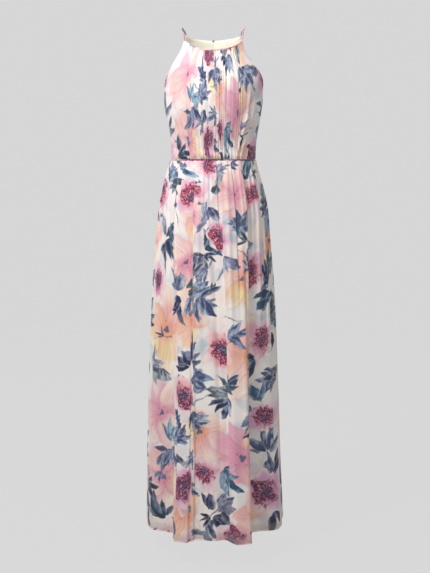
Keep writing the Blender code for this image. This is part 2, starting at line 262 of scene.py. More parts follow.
FRONT_THREADS = rows(
    Thread,
    (0.000, -90.0),
    (0.283, -49.0),
    (0.388, -24.0),
    (0.557, 7.5),
    (0.700, 38.7),
    (1.000, 90.0),
)

BACK_THREADS = (Thread(0.0, -90.0), Thread(1.0, 90.0))

FRONT_SKIRT_PLEATS = rows(
    Pleat,
    (0.285, -0.05, 0.283, 1.35, 0.0070, 0.034, -1, 42),
    (0.314, -0.03, 0.322, 0.26, 0.0026, 0.016, 1, 14),
    (0.396, -0.04, 0.386, 1.45, 0.0064, 0.034, 1, 44),
    (0.452, -0.02, 0.456, 0.20, 0.0022, 0.016, -1, 10),
    (0.538, -0.03, 0.540, 0.25, 0.0028, 0.018, -1, 14),
    (0.557, 0.10, 0.557, 1.02, 0.0048, 0.030, 1, 30),
    (0.628, -0.04, 0.632, 0.46, 0.0030, 0.022, -1, 18),
    (0.702, -0.06, 0.700, 1.30, 0.0090, 0.050, -1, 52),
    (0.745, -0.03, 0.756, 0.40, 0.0026, 0.016, 1, 12),
    (0.842, -0.03, 0.850, 0.62, 0.0030, 0.024, 1, 18),
    (0.170, -0.03, 0.160, 0.52, 0.0028, 0.024, -1, 16),
)

BACK_SKIRT_PLEATS = rows(
    Pleat,
    (0.120, -0.03, 0.112, 0.62, 0.0032, 0.026, -1, 18),
    (0.215, -0.05, 0.200, 0.92, 0.0050, 0.034, 1, 36),
    (0.330, -0.03, 0.318, 0.80, 0.0044, 0.030, -1, 30),
    (0.418, -0.03, 0.425, 0.34, 0.0026, 0.018, 1, 12),
    (0.472, -0.05, 0.466, 0.98, 0.0052, 0.034, 1, 38),
    (0.560, -0.03, 0.566, 0.48, 0.0028, 0.020, -1, 16),
    (0.648, -0.05, 0.655, 0.90, 0.0048, 0.034, -1, 34),
    (0.762, -0.03, 0.770, 0.56, 0.0034, 0.024, 1, 20),
    (0.868, -0.04, 0.882, 0.84, 0.0044, 0.030, 1, 28),
)

FRONT_SKIRT_CREASES = rows(
    Crease,
    (0.040, -0.03, 0.036, 0.62, 0.012, 0.0039),
    (0.085, 0.04, 0.078, 0.90, 0.014, -0.0036),
    (0.128, -0.03, 0.118, 0.74, 0.011, 0.0042),
    (0.222, -0.03, 0.214, 0.58, 0.012, 0.0042),
    (0.250, 0.10, 0.246, 1.20, 0.009, -0.0034),
    (0.345, 0.00, 0.344, 0.70, 0.009, -0.0031),
    (0.425, 0.06, 0.430, 0.72, 0.012, 0.0039),
    (0.478, -0.04, 0.484, 0.46, 0.010, 0.0036),
    (0.506, 0.16, 0.512, 1.02, 0.012, -0.0036),
    (0.590, -0.03, 0.596, 0.60, 0.010, 0.0039),
    (0.655, 0.10, 0.650, 1.20, 0.012, 0.0042),
    (0.668, -0.03, 0.672, 0.30, 0.006, 0.0031),
    (0.790, -0.04, 0.800, 0.70, 0.012, 0.0042),
    (0.882, 0.02, 0.900, 0.95, 0.013, -0.0039),
    (0.930, -0.03, 0.944, 0.66, 0.012, 0.0039),
    (0.968, 0.02, 0.976, 0.84, 0.012, -0.0031),
)

BACK_SKIRT_CREASES = rows(
    Crease,
    (0.050, -0.03, 0.046, 0.70, 0.012, 0.0030),
    (0.165, 0.00, 0.160, 0.88, 0.013, -0.0028),
    (0.262, -0.03, 0.255, 0.64, 0.011, 0.0030),
    (0.378, 0.03, 0.372, 0.76, 0.012, -0.0026),
    (0.516, -0.03, 0.520, 0.70, 0.012, 0.0028),
    (0.606, 0.02, 0.614, 0.92, 0.012, -0.0028),
    (0.708, -0.03, 0.716, 0.60, 0.012, 0.0030),
    (0.815, 0.00, 0.824, 0.82, 0.013, -0.0026),
    (0.930, -0.03, 0.940, 0.66, 0.012, 0.0030),
)

FRONT_SKIRT = (FRONT_FOLDS, FRONT_THREADS, FRONT_SKIRT_PLEATS, FRONT_SKIRT_CREASES)
BACK_SKIRT = (BACK_FOLDS, BACK_THREADS, BACK_SKIRT_PLEATS, BACK_SKIRT_CREASES)

BODICE_PLEATS = rows(
    Pleat,
    (0.985, 0.140, 0.835, 0.430, 0.0066, 0.030, -1, 10),
    (0.925, 0.155, 0.765, 0.430, 0.0066, 0.030, -1, 10),
    (0.865, 0.185, 0.710, 0.420, 0.0048, 0.024, -1, 8),
    (0.085, 0.215, 0.150, 0.346, 0.0030, 0.030, -1, 6),
    (0.185, 0.225, 0.232, 0.346, 0.0034, 0.026, 1, 8),
)

BODICE_CREASES = rows(
    Crease,
    (0.985, 0.150, 0.900, 0.345, 0.014, 0.0034),
    (0.870, 0.120, 0.800, 0.300, 0.012, 0.0028),
    (0.130, 0.190, 0.190, 0.345, 0.014, -0.0026),
    (0.330, -0.030, 0.345, 0.330, 0.007, -0.0030),
    (0.375, -0.030, 0.385, 0.360, 0.006, 0.0024),
    (0.640, -0.030, 0.625, 0.240, 0.007, -0.0026),
    (0.560, 0.030, 0.556, 0.360, 0.006, 0.0024),
)

BACK_BODICE_CREASES = rows(
    Crease,
    (0.250, 0.190, 0.420, 0.360, 0.030, 0.0026),
    (0.480, 0.180, 0.560, 0.360, 0.026, -0.0020),
    (0.700, 0.220, 0.720, 0.360, 0.022, 0.0022),
    (0.140, 0.240, 0.260, 0.360, 0.024, -0.0022),
)


def ease(t: Any) -> Any:
    """0 below 0, 1 above 1, and a smooth turn between them."""
    t = np.clip(t, 0, 1)
    return t * t * (3 - 2 * t)


def between(share: Any, slope: float) -> Any:
    """0 at both sides of a panel and 1 between them."""
    return ease(share * slope) * ease((1 - share) * slope)


def near(share: Floats, reach: float) -> Floats:
    """1 at a share of 0, and less the farther from it."""
    return np.exp(-share / reach)


def follow(x: Floats, y: Floats, slope: Floats, at: Floats) -> Floats:
    """Reads a smooth curve through some points.

    Args:
        x: How far along the curve the points lie, in rising order.
        y: The points, as one number or one place each.
        slope: The curve's slope at each.
        at: Where to read it.

    Returns:
        Its values there.
    """
    i = np.clip(np.searchsorted(x, at, side="right") - 1, 0, len(x) - 2)
    step = x[i + 1] - x[i]
    t = (at - x[i]) / step
    if y.ndim > 1:
        t, step = t[:, None], step[:, None]
    bend = slope[i] * t * (1 - t) ** 2 - slope[i + 1] * t * t * (1 - t)
    return y[i] * (1 + 2 * t) * (1 - t) ** 2 + y[i + 1] * t * t * (3 - 2 * t) + step * bend


def read(rows: Sequence[NamedTuple], name: str, at: Any) -> Floats:
    """Reads a table's column between its rows, on a smooth curve that never overshoots them.

    Args:
        rows: The table, in order of its column "at".
        name: The column to read.
        at: Where to read it.

    Returns:
        The column's values there.
    """
    x = np.array([row.at for row in rows], float)
    y = np.array([getattr(row, name) for row in rows], float)
    slope = np.diff(y) / np.diff(x)
    rising = slope[:-1] * slope[1:] > 0
    inner = np.where(rising, 2 * slope[:-1] * slope[1:] / (slope[:-1] + slope[1:] + 1e-12), 0)
    tangent = np.concatenate([[slope[0]], inner, [slope[-1]]])
    return follow(x, y, tangent, np.clip(np.asarray(at, float), x[0], x[-1]))


def smooth_line(points: Sequence[tuple[float, float, float]], count: int) -> Floats:
    """Lays one smooth curve through a few chosen points.

    Args:
        points: The chosen points.
        count: How many points to give the curve.

    Returns:
        The curve's points.
    """
    chosen = np.array(points, float)
    chord = np.concatenate([[0], np.cumsum(np.linalg.norm(np.diff(chosen, axis=0), axis=1))])
    tangent = np.gradient(chosen, chord, axis=0)
    return follow(chord, chosen, tangent, np.linspace(0, chord[-1], count))


def outward(points: Floats) -> Floats:
    """Finds which way a panel's outer face looks.

    Args:
        points: A grid of the panel's points.

    Returns:
        Their unit normals, turned away from the middle of the dress.
    """
    across, along = np.gradient(points, axis=1), np.gradient(points, axis=0)
    normal = np.cross(across, along)
    normal /= np.linalg.norm(normal, axis=2, keepdims=True) + 1e-12
    return normal if (normal[..., :2] * points[..., :2]).sum() > 0 else -normal


def half_ring(left: Any, right: Any, depth: Any, degrees: Any) -> tuple[Floats, Floats, Floats, Floats]:
    """Places points on a half ellipse, seen from above.

    Args:
        left: Its half-width to the left.
        right: Its half-width to the right.
        depth: How deep it is.
        degrees: Where on it the points lie, from 0 at its middle to 90 at its right end.

    Returns:
        The points' places across and out, and the same two parts of their outward direction.
    """
    turn = np.radians(degrees)
    half = np.where(turn < 0, left, right)
    x, y = half * np.sin(turn), depth * np.cos(turn)
    nx, ny = depth * np.sin(turn), half * np.cos(turn)
    length = np.hypot(nx, ny)
    return x, y, nx / length, ny / length


def wrap(turn: Floats, swing: Floats) -> tuple[Floats, Floats]:
    """How far out to its edge, and how near to its middle's depth, a bent panel is at each swing."""
    return np.sin(swing) / np.sin(turn), (np.cos(swing) - np.cos(turn)) / (1 - np.cos(turn))


def half_width(side: str, armhole: Sequence[EdgePoint], up: Floats) -> Floats:
    """How far the bodice reaches to one side: to its seam, and above that to the armhole."""
    return np.where(up < UNDERARM_UP, read(BODICE, side, up), read(armhole, side, up))


def relief(creases: Iterable[Crease], share: Floats, down: Floats) -> Floats:
    """How far a set of creases stands out of a panel.

    Args:
        creases: The creases.
        share: Shares of the panel's width.
        down: Distances from its top seam, in metres.

    Returns:
        Heights in metres, of the shape that share and down make together.
    """
    total = np.zeros(np.broadcast(share, down).shape)
    for crease in creases:
        way = (down - crease.top) / (crease.bottom - crease.top)
        centre = crease.across + (crease.across_end - crease.across) * np.clip(way, 0, 1)
        ends = ease(way * 5) * ease((1 - way) * 2.2)
        total = total + crease.height * ends * np.exp(-(((share - centre) / crease.width) ** 2))
    return total


def pleating(pleats: Iterable[Pleat], share: Floats, down: Floats) -> tuple[Floats, Floats]:
    """How far a set of pleats stands out of a panel, and the cloth they have hidden so far.

    Args:
        pleats: The pleats.
        share: Shares of the panel's width.
        down: Distances from its top seam, in metres.

    Returns:
        Heights in metres, and the mm of cloth hidden to the left of each point.
    """
    turn, jump = 0.09, 0.0016
    shape = np.broadcast(share, down).shape
    total, hidden = np.zeros(shape), np.zeros(shape)
    for pleat in pleats:
        way = (down - pleat.top) / (pleat.bottom - pleat.top)
        centre = pleat.across + (pleat.across_end - pleat.across) * np.clip(way, 0, 1)
        ends = ease(way * 5) * ease((1 - way) * 3)
        off = pleat.raised * (share - centre) / pleat.reach
        step_up = 0.1 + 0.9 * np.tanh(off / turn)
        total = total + pleat.height * ends * step_up * np.exp(-np.abs(off))
        hidden = hidden + pleat.hidden * ends * (0.5 + 0.5 * np.tanh((share - centre) / jump))
    return total, hidden


def uneven(share: Floats, amount: float = 1.0) -> Floats:
    """A share of a panel's width, nudged to and fro so that hand-made gathers aren't all alike."""
    return share + amount * (0.012 * np.sin(19.3 * share + 1.0) + 0.006 * np.sin(47.1 * share + 2.0))


@dataclass(frozen=True)
class Lattice:
    """Smooth noise between 0 and 1, from a square of seeded heights that repeats."""

    seed: int
    size: int = 32

    def at(self, x: Floats, y: Floats) -> Floats:
        """Reads the noise, one cell to a unit.

        Args:
            x: Places across it.
            y: Places down it.

        Returns:
            Its values there.
        """
        heights = np.random.default_rng(self.seed).random((self.size, self.size))
        column, row = np.floor(x).astype(int), np.floor(y).astype(int)
        right, lower = ease(x - column), ease(y - row)
        column, row = column % self.size, row % self.size
        next_column, next_row = (column + 1) % self.size, (row + 1) % self.size
        top = heights[column, row] * (1 - right) + heights[next_column, row] * right
        bottom = heights[column, next_row] * (1 - right) + heights[next_column, next_row] * right
        return top * (1 - lower) + bottom * lower


def hex_colour(code: str) -> Floats:
    """An sRGB hex colour as three values between 0 and 1, still in sRGB."""
    return np.array([int(code[i : i + 2], 16) / 255 for i in (1, 3, 5)])


def to_linear(colour: Any) -> Floats:
    """sRGB values, or an sRGB hex code, as linear light."""
    value = hex_colour(colour) if isinstance(colour, str) else np.asarray(colour, float)
    return np.where(value <= 0.04045, value / 12.92, ((value + 0.055) / 1.055) ** 2.4)


def socket_colour(code: str) -> tuple[float, ...]:
    """An sRGB hex colour as a colour socket takes it: linear, with an alpha of 1."""
    return (*to_linear(code), 1.0)


def mix(under: Any, over: Any, amount: Floats) -> Floats:
    """One colour laid over another, by an amount for each point."""
    return under + (over - under) * amount[:, None]


class BloomKind(Enum):
    """The motifs of the print."""

    PEACH_LILY = "peach lily"
    PINK_LILY = "pink lily"
    PEONY = "peony"
    LEAVES = "cluster of leaves"


class Bloom(NamedTuple):
    """A motif of the print, in mm from the corner of the repeat, and which ways its leaves point."""

    kind: BloomKind
    across: float
    down: float
    radius: float
    turn: float
    leaves: tuple[float, ...] = ()


class LilyInks(NamedTuple):
    """The colours of a lily: its throat, the petals it may have, their shaded edge and its halo."""

    throat: str
    petals: tuple[str, ...]
    edge: str
    halo: str


class Habit(NamedTuple):
    """How a flower's petals grow, with lengths as shares of its radius."""

    order: tuple[int, ...]  # their places round the flower, the lowest petal first
    sway: float  # degrees by which each may turn from its place
    length: tuple[float, float]
    half: tuple[float, float]  # half its width
    bend: float
    belly: float  # under 1 puts the widest place nearer the tip
    fullness: float  # under 1 rounds the ends
    fade_mm: float  # how wide its edge fades
    shadow_mm: float  # how far its shadow reaches
    shadow: float  # how dark that is
    margin_mm: float  # how far past its edge it hides leaves


LILY_PETALS = Habit(
    (0, 2, 4, 1, 3, 5), 13, (0.88, 1.32), (0.30, 0.46), 0.25, 0.85, 0.75, 2.6, 5, 0.26, 0
)
PEONY_PETALS = Habit(
    (0, 3, 6, 1, 4, 7, 2, 5), 14, (0.85, 1.35), (0.28, 0.46), 0.30, 0.95, 0.65, 4.0, 4, 0.22, 2
)


PEACH, PINK, PEONY, LEAVES = BloomKind

BLOOMS = rows(
    Bloom,
    (PEACH, 722, 268, 104, 15),
    (LEAVES, 515, 250, 84, 250),
    (PEACH, 495, 370, 92, 200),
    (PINK, 245, 325, 100, 50),
    (LEAVES, 340, 295, 86, 120),
    (PEONY, 400, 250, 60, 15, (70,)),
    (PEONY, 608, 348, 66, 200, (200,)),
    (LEAVES, 705, 400, 108, 200),
    (PEONY, 54, 380, 54, 80),
    (PEACH, 109, 520, 112, 30),
    (LEAVES, 310, 425, 80, 60),
    (PEACH, 270, 485, 96, 70),
    (LEAVES, 700, 520, 92, 320),
    (PEONY, 648, 550, 62, 75, (120,)),
    (LEAVES, 9, 645, 88, 170),
    (PEACH, 515, 595, 132, 80),
    (PEONY, 395, 570, 66, 220, (330,)),
    (LEAVES, 430, 690, 80, 100),
    (LEAVES, 270, 620, 104, 40),
    (PEONY, 232, 698, 68, 0, (60,)),
    (PINK, 74, 765, 108, 120),
    (LEAVES, 555, 740, 64, 150),
    (PEONY, 668, 780, 62, 10, (250,)),
    (PEACH, 325, 810, 100, 20),
    (PINK, 485, 875, 120, 260),
    (LEAVES, 200, 860, 84, 90),
    (PEONY, 352, 920, 56, 60, (20, 200)),
    (PINK, 84, 955, 112, 200),
    (LEAVES, 685, 900, 86, 80),
    (PEONY, 664, 1000, 76, 45, (300, 80)),
    (PEACH, 540, 1055, 104, 300),
    (PEACH, 245, 1035, 112, 160),
    (LEAVES, 370, 1040, 62, 70),
    (PEONY, 445, 1125, 76, 85, (190, 330)),
    (LEAVES, 109, 1095, 74, 40),
    (PEONY, 129, 1160, 76, 35, (20,)),
    (PEACH, 735, 1170, 116, 220),
    (LEAVES, 555, 15, 62, 30),
    (PEONY, 300, 1160, 76, 5, (190,)),
    (LEAVES, 235, 70, 108, 110),
    (PINK, 460, 125, 106, 95),
    (PEONY, 575, 125, 62, 35, (240,)),
    (LEAVES, 355, 135, 66, 210),
    (PINK, 300, 190, 76, 65),
    (LEAVES, 710, 155, 68, 150),
    (PEONY, 69, 125, 74, 65, (320,)),
    (PEONY, 355, 45, 50, 130),
    (LEAVES, 735, 1020, 66, 10),
    (LEAVES, 245, 780, 84, 15),
    (LEAVES, 228, 410, 72, 40),
    (LEAVES, 105, 862, 62, 75),
    (LEAVES, 120, 262, 74, 20),
    (LEAVES, 228, 1135, 76, 20),
    (LEAVES, 260, 955, 88, 60),
    (PEONY, 245, 965, 66, 20),
    (PEONY, 280, 130, 66, 20),
)


LILY_INKS = {
    PEACH: LilyInks(
        throat="#F0A788",
        petals=("#F8CBAE", "#F4BFB2", "#F6E1AE", "#F9DDD0", "#F3C3BE"),
        edge="#E2937F",
        halo="#F9D8C8",
    ),
    PINK: LilyInks(
        throat="#E096AC",
        petals=("#F3C4BE", "#F5D3CB", "#ECB4C4", "#F8DCCF", "#F8D3AC"),
        edge="#CE86A0",
        halo="#F6D6D4",
    ),
}


@dataclass
class Ink:
    """What the print lays on some points of the cloth."""

    ground: Floats
    heart: Floats  # 1 in a peony's ruffled heart
    core: Floats  # 1 at the dark middle of that heart
    ruffle: Floats  # where a point lies among the heart's petals: round it, and out from its middle
    leaf: Floats
    leaf_inside: Floats  # mm inside a leaf's edge, negative outside it

    def tint(self, near: Indices, colour: Floats, strength: Floats) -> None:
        """Lays a colour over the ground at some of the points, as thickly as strength says."""
        self.ground[near] = mix(self.ground[near], colour, strength)

    def cover(self, near: Indices, inside: Floats, over: Floats) -> None:
        """Lays a petal over the leaves and hearts under it.

        Args:
            near: The points that it may cover.
            inside: How many mm inside its edge they lie.
            over: How thickly it covers them.
        """
        self.leaf_inside[near] = np.minimum(self.leaf_inside[near], -inside)
        self.heart[near] *= 1 - over
        self.core[near] *= 1 - over


class Spot(NamedTuple):
    """The points near a place on the cloth, and how many mm across and down from it they lie."""

    near: Indices
    dx: Floats
    dy: Floats


class Growth(NamedTuple):
    """How a petal or a leaf grows from its root."""

    angle: float  # degrees
    length: float  # root to tip, in mm
    half: float  # half its greatest width, in mm
    bend: float  # how far it bends sideways at the tip, as a share of its length


class Blade(NamedTuple):
    """A petal or a leaf as some points see it."""

    inside: Floats  # mm inside its edge, negative outside it
    along: Floats  # 0 at its root and 1 at its tip
    side: Floats  # -1 at one edge and 1 at the other
    half: float  # half its greatest width, in mm


@dataclass
class FloralPrint:
    """A watercolour floral on ivory, drawn point by point on flat cloth, in mm.

    Lilies in peach and pink, peonies with ruffled burgundy hearts and fans of slate-blue leaves
    are laid out in BLOOMS. The layout repeats across the cloth and down it.
    """

    repeat_across: float = 740.0
    repeat_down: float = 1180.0
    seed: int = 11
    sprigs: int = 40
    fan_every_mm: float = 18.0  # how much of a leaf cluster's radius calls for a fan of its own
    heart_share: float = 0.66  # the radius of a peony's heart, as a share of its petals'
    ruffles_round: float = 42.0  # petal tips round a peony's heart
    ruffle_mm: float = 6.0  # how long each is
    deep_from: float = 860.0  # how far down the leaves begin to darken
    deep_over: float = 160.0
    deep_tint: tuple[float, float, float] = (0.20, 0.24, 0.20)
    ivory: str = "#F5F2ED"
    warm_wash: str = "#F8E8D8"
    cool_wash: str = "#E6E6E8"
    petal_tip: str = "#FBF3E4"
    petal_vein: str = "#BE6C98"
    eye: str = "#525C74"
    stamen: str = "#8A5470"
    peony_halo: str = "#F5CFE0"
    peony_petals: tuple[str, ...] = ("#E8B0C6", "#E2AFCF", "#F0B8B6")
    peony_tip: str = "#F9E6E2"
    peony_shade: str = "#D2809C"
    peony_heart: str = "#CE7C92"
    leaf_ground: str = "#3A4A70"
    leaf_parting: str = "#C9CEDA"
    leaf_veins: tuple[str, str] = ("#2A3655", "#C9D0DC")  # on a dark leaf and on a light one
    leaf_shadows: tuple[str, ...] = ("#A9B3C8", "#B9B6CC", "#A6BCC8")
    leaf_inks: tuple[tuple[str, str], ...] = (
        ("#39456C", "#A4B2CC"),
        ("#365878", "#9DBACE"),
        ("#4C5674", "#B4BACC"),
        ("#2C3050", "#8490AC"),
        ("#2F465E", "#8FA8BE"),
        ("#454F58", "#A6B0B4"),
        ("#474A68", "#A6A8C4"),
    )
    sprig_inks: tuple[tuple[str, str], ...] = (("#46527A", "#9AA6C4"), ("#20243A", "#59617E"))
    x: Floats = field(init=False)
    y: Floats = field(init=False)
    ink: Ink = field(init=False)
    rng: np.random.Generator = field(init=False)

    def __post_init__(self) -> None:
        """Sets up the noise that makes edges and washes uneven."""
        self.broad, self.fine = Lattice(self.seed), Lattice(self.seed + 1)

    def draw(self, across: Floats, down: Floats) -> Ink:
        """Draws the whole print at some points of the flat cloth.

        Args:
            across: Distances across the cloth in mm.
            down: Distances down it in mm.

        Returns:
            The ink at each point.
        """
        self._wander(across, down)
        count = len(across)
        self.ink = Ink(
            ground=np.tile(hex_colour(self.ivory), (count, 1)),
            heart=np.zeros(count),
            core=np.zeros(count),
            ruffle=np.zeros((count, 3)),
            leaf=np.tile(hex_colour(self.leaf_ground), (count, 1)),
            leaf_inside=np.full(count, -50.0),
        )
        self.rng = np.random.default_rng(self.seed)
        self._wash()
        for bloom in BLOOMS:
            if bloom.kind is not LEAVES:
                self._halo(bloom)
        for bloom in BLOOMS:
            self._leaf_shadows(bloom)
        for bloom in BLOOMS:
            if bloom.kind in LILY_INKS:
                self._lily(bloom)
        for bloom in BLOOMS:
            if bloom.kind is LEAVES:
                self._leaf_cluster(bloom)
        for bloom in BLOOMS:
            if bloom.kind is PEONY:
                self._peony(bloom)
                for direction in bloom.leaves:
                    self._leaf_fan(bloom, direction, 0.80)
        for _ in range(self.sprigs):
            self._sprig()
        return self.ink

    def _wander(self, across: Floats, down: Floats) -> None:
        """Shifts the points a little to and fro, so that every shape has a hand-painted edge.

        Args:
            across: Distances across the cloth in mm.
            down: Distances down it in mm.
        """
        far, near = 47.0, 13.0
        self.x = across + 16 * (self.broad.at(across / far, down / far) - 0.5)
        self.y = down + 16 * (self.broad.at(across / far + 9.3, down / far + 4.1) - 0.5)
        self.x = self.x + 4.5 * (self.fine.at(across / near, down / near) - 0.5)
        self.y = self.y + 4.5 * (self.fine.at(across / near + 5.1, down / near + 8.7) - 0.5)

    def _mottle(self, noise: Lattice, near: Any, cell: float, right: float = 0, lower: float = 0) -> Floats:
        """Noise at some of the points, in cells of so many mm, read from its own corner."""
        return noise.at(self.x[near] / cell + right, self.y[near] / cell + lower)

    def _near(self, across: float, down: float, reach: float) -> Spot:
        """Finds the points near a place, in whichever repeat is nearest.

        Args:
            across: How far across the repeat the place is.
            down: How far down it is.
            reach: How far off the points may lie.

        Returns:
            The points.
        """
        half_across, half_down = self.repeat_across / 2, self.repeat_down / 2
        dx = (self.x - across + half_across) % self.repeat_across - half_across
        dy = (self.y - down + half_down) % self.repeat_down - half_down
        near = np.flatnonzero(dx * dx + dy * dy < reach**2)
        return Spot(near, dx[near], dy[near])

    def _tilt(self, spot: Spot) -> Spot:
        """Narrows a flower one way, as when it is seen a little from one side.

        Args:
            spot: The points near it.

        Returns:
            The same points, with offsets stretched to match.
        """
        turn, narrow = self.rng.uniform(0, math.pi), self.rng.uniform(0.68, 0.92)
        along = spot.dx * math.cos(turn) + spot.dy * math.sin(turn)
        beside = (-spot.dx * math.sin(turn) + spot.dy * math.cos(turn)) / narrow
        dx = along * math.cos(turn) - beside * math.sin(turn)
        dy = along * math.sin(turn) + beside * math.cos(turn)
        return Spot(spot.near, dx, dy)

    def _blade(self, spot: Spot, growth: Growth, belly: float, fullness: float) -> Blade:
        """Outlines a petal or a leaf that grows from a place.

        Args:
            spot: The points near its root.
            growth: How it grows.
            belly: Under 1 puts the widest place nearer the tip.
            fullness: Under 1 rounds the ends.

        Returns:
            The points' places on it.
        """
        turn = math.radians(growth.angle)
        s = spot.dx * math.cos(turn) + spot.dy * math.sin(turn)
        t = -spot.dx * math.sin(turn) + spot.dy * math.cos(turn) - growth.bend * s * s / growth.length
        along = np.clip(s / growth.length, 0, 1)
        width = growth.half * np.sin(math.pi * along**belly) ** fullness
        beyond = np.maximum(np.maximum(-s, s - growth.length), 0)
        inside = np.where(beyond > 0, -np.hypot(beyond, t), width - np.abs(t))
        return Blade(inside, along, np.clip(t / (width + 1e-6), -1, 1), growth.half)

    def _wash(self) -> None:
        """Tints the ivory ground with faint warm and cool washes."""
        everywhere = np.arange(len(self.x))
        wash = self._mottle(self.broad, everywhere, 120, 3, 8)
        self.ink.tint(everywhere, hex_colour(self.warm_wash), 0.32 * ease((wash - 0.58) * 3))
        self.ink.tint(everywhere, hex_colour(self.cool_wash), 0.34 * ease((0.42 - wash) * 3))

    def _halo(self, bloom: Bloom) -> None:
        """Bleeds a flower's colour into the damp ground round it.

        Args:
            bloom: The flower.
        """
        halo = self.peony_halo if bloom.kind is PEONY else LILY_INKS[bloom.kind].halo
        reach = 1.15 * bloom.radius
        spot = self._near(bloom.across, bloom.down, 2.2 * reach)
        wet = self._mottle(self.broad, spot.near, 38, 5, 2)
        r = np.hypot(spot.dx, spot.dy) / reach * (1.35 - 0.7 * wet)
        self.ink.tint(spot.near, hex_colour(halo), 0.24 * np.exp(-(r**2.2)))

    def _petal(
        self, bloom: Bloom, habit: Habit, place: int, spot: Spot, shade: Floats, ragged: Any
    ) -> tuple[Blade, Floats]:
        """Lays one petal over what is there, with a shadow round its edge.

        Args:
            bloom: The flower.
            habit: How its petals grow.
            place: The petal's place round it.
            spot: The points near it.
            shade: The shadow's colour.
            ragged: How many mm the edge moves out at each point, in full at the tip.

        Returns:
            The points' places on the petal, and how thickly it covers them.
        """
        growth = Growth(
            bloom.turn + 360 / len(habit.order) * place + self.rng.uniform(-habit.sway, habit.sway),
            bloom.radius * self.rng.uniform(*habit.length),
            bloom.radius * self.rng.uniform(*habit.half),
            self.rng.uniform(-habit.bend, habit.bend),
        )
        petal = self._blade(spot, growth, habit.belly, habit.fullness)
        inside = petal.inside + ragged * petal.along
        over = ease(inside / habit.fade_mm + 0.5)
        shadow = np.exp(-np.maximum(-inside, 0) / habit.shadow_mm) * (inside < 0)
        shadow = shadow * (petal.along > 0.08) * (petal.along < 0.97)
        self.ink.tint(spot.near, shade, habit.shadow * shadow)
        self.ink.cover(spot.near, inside + habit.margin_mm, over)
        return petal._replace(inside=inside), over

    def _lily(self, bloom: Bloom) -> None:
        """Paints a lily: six broad petals of unlike tints, with veins, round a dark eye.

        Args:
            bloom: The lily.
        """
        spot = self._tilt(self._near(bloom.across, bloom.down, 1.75 * bloom.radius))
        inks = LILY_INKS[bloom.kind]
        throat, edge = hex_colour(inks.throat), hex_colour(inks.edge)
        tip, vein = hex_colour(self.petal_tip), hex_colour(self.petal_vein)
        wet = self._mottle(self.broad, spot.near, 26)
        damp = self._mottle(self.fine, spot.near, 15)
        for place in LILY_PETALS.order:
            middle = hex_colour(inks.petals[int(self.rng.integers(len(inks.petals)))])
            petal, over = self._petal(bloom, LILY_PETALS, place, spot, edge * 0.9, 6 * (damp - 0.5))
            s, side = petal.along, petal.side
            colour = mix(throat, middle, ease(s * 2.7))
            colour = mix(colour, tip, 0.9 * ease((s - 0.42) * 1.5 + (wet - 0.5) * 1.3))
            colour = mix(colour, edge, 0.55 * (0.5 + 0.5 * side) ** 2.2 * (1 - 0.35 * s) * (0.5 + wet))
            colour = mix(colour, edge, 0.34 * np.exp(-np.maximum(petal.inside, 0) / 1.6) * (damp > 0.4))
            faded = 0.97 - 0.60 * ease((s - 0.60) * 2.6) * ease(wet * 1.7 - 0.2)
            self.ink.tint(spot.near, colour, over * faded)
            for line in (-0.42, -0.05, 0.36):
                bowed = line * (0.5 + 0.5 * s)
                stroke = np.exp(-(((side - bowed) * petal.half * 0.9 / 2.0) ** 2)) * (damp > 0.28)
                thick = 0.46 * stroke * over * (1 - s) ** 1.1 * ease((s - 0.08) * 12)
                self.ink.tint(spot.near, vein, thick)
        self._lily_eye(bloom, spot, throat)

    def _lily_eye(self, bloom: Bloom, spot: Spot, throat: Floats) -> None:
        """Paints a lily's glowing throat, its dark eye and the dots of its stamens.

        Args:
            bloom: The lily.
            spot: The points near it.
            throat: The throat's colour.
        """
        r, around = np.hypot(spot.dx, spot.dy), np.arctan2(spot.dy, spot.dx)
        self.ink.tint(spot.near, throat, 0.38 * np.exp(-((r / (0.26 * bloom.radius)) ** 2)))
        eye = 0.075 * bloom.radius * (1 + 0.3 * np.sin(3 * around + bloom.turn))
        self.ink.tint(spot.near, hex_colour(self.eye), 0.85 * ease((eye - r) / 2.5 + 0.5))
        for stamen in range(5):
            turn = math.radians(bloom.turn + 72 * stamen + 25)
            reach = bloom.radius * self.rng.uniform(0.13, 0.24)
            away = np.hypot(spot.dx - reach * math.cos(turn), spot.dy - reach * math.sin(turn))
            self.ink.tint(spot.near, hex_colour(self.stamen), 0.6 * ease((2.4 - away) / 2 + 0.5))

    def _peony(self, bloom: Bloom) -> None:
        """Paints a peony: loose orchid petals round a ragged heart.

        Args:
            bloom: The peony.
        """
        spot = self._tilt(self._near(bloom.across, bloom.down, 1.9 * bloom.radius))
        rose, pale = hex_colour(self.peony_shade), hex_colour(self.peony_tip)
        wet = self._mottle(self.broad, spot.near, 22, 7)
        orchid = hex_colour(self.peony_petals[int(self.rng.integers(len(self.peony_petals)))])
        for place in PEONY_PETALS.order:
            petal, over = self._petal(bloom, PEONY_PETALS, place, spot, rose, 0)
            s, side = petal.along, petal.side
            colour = mix(orchid, pale, ease((s - 0.32) * 1.7 + 1.2 * (wet - 0.5)))
            colour = mix(colour, rose, 0.50 * (0.5 + 0.5 * side) ** 2 * (1 - 0.8 * s))
            self.ink.tint(spot.near, colour, over * (0.93 - 0.7 * ease((s - 0.5) * 2) * ease(wet * 1.4)))
        self._peony_heart(bloom, spot, wet)

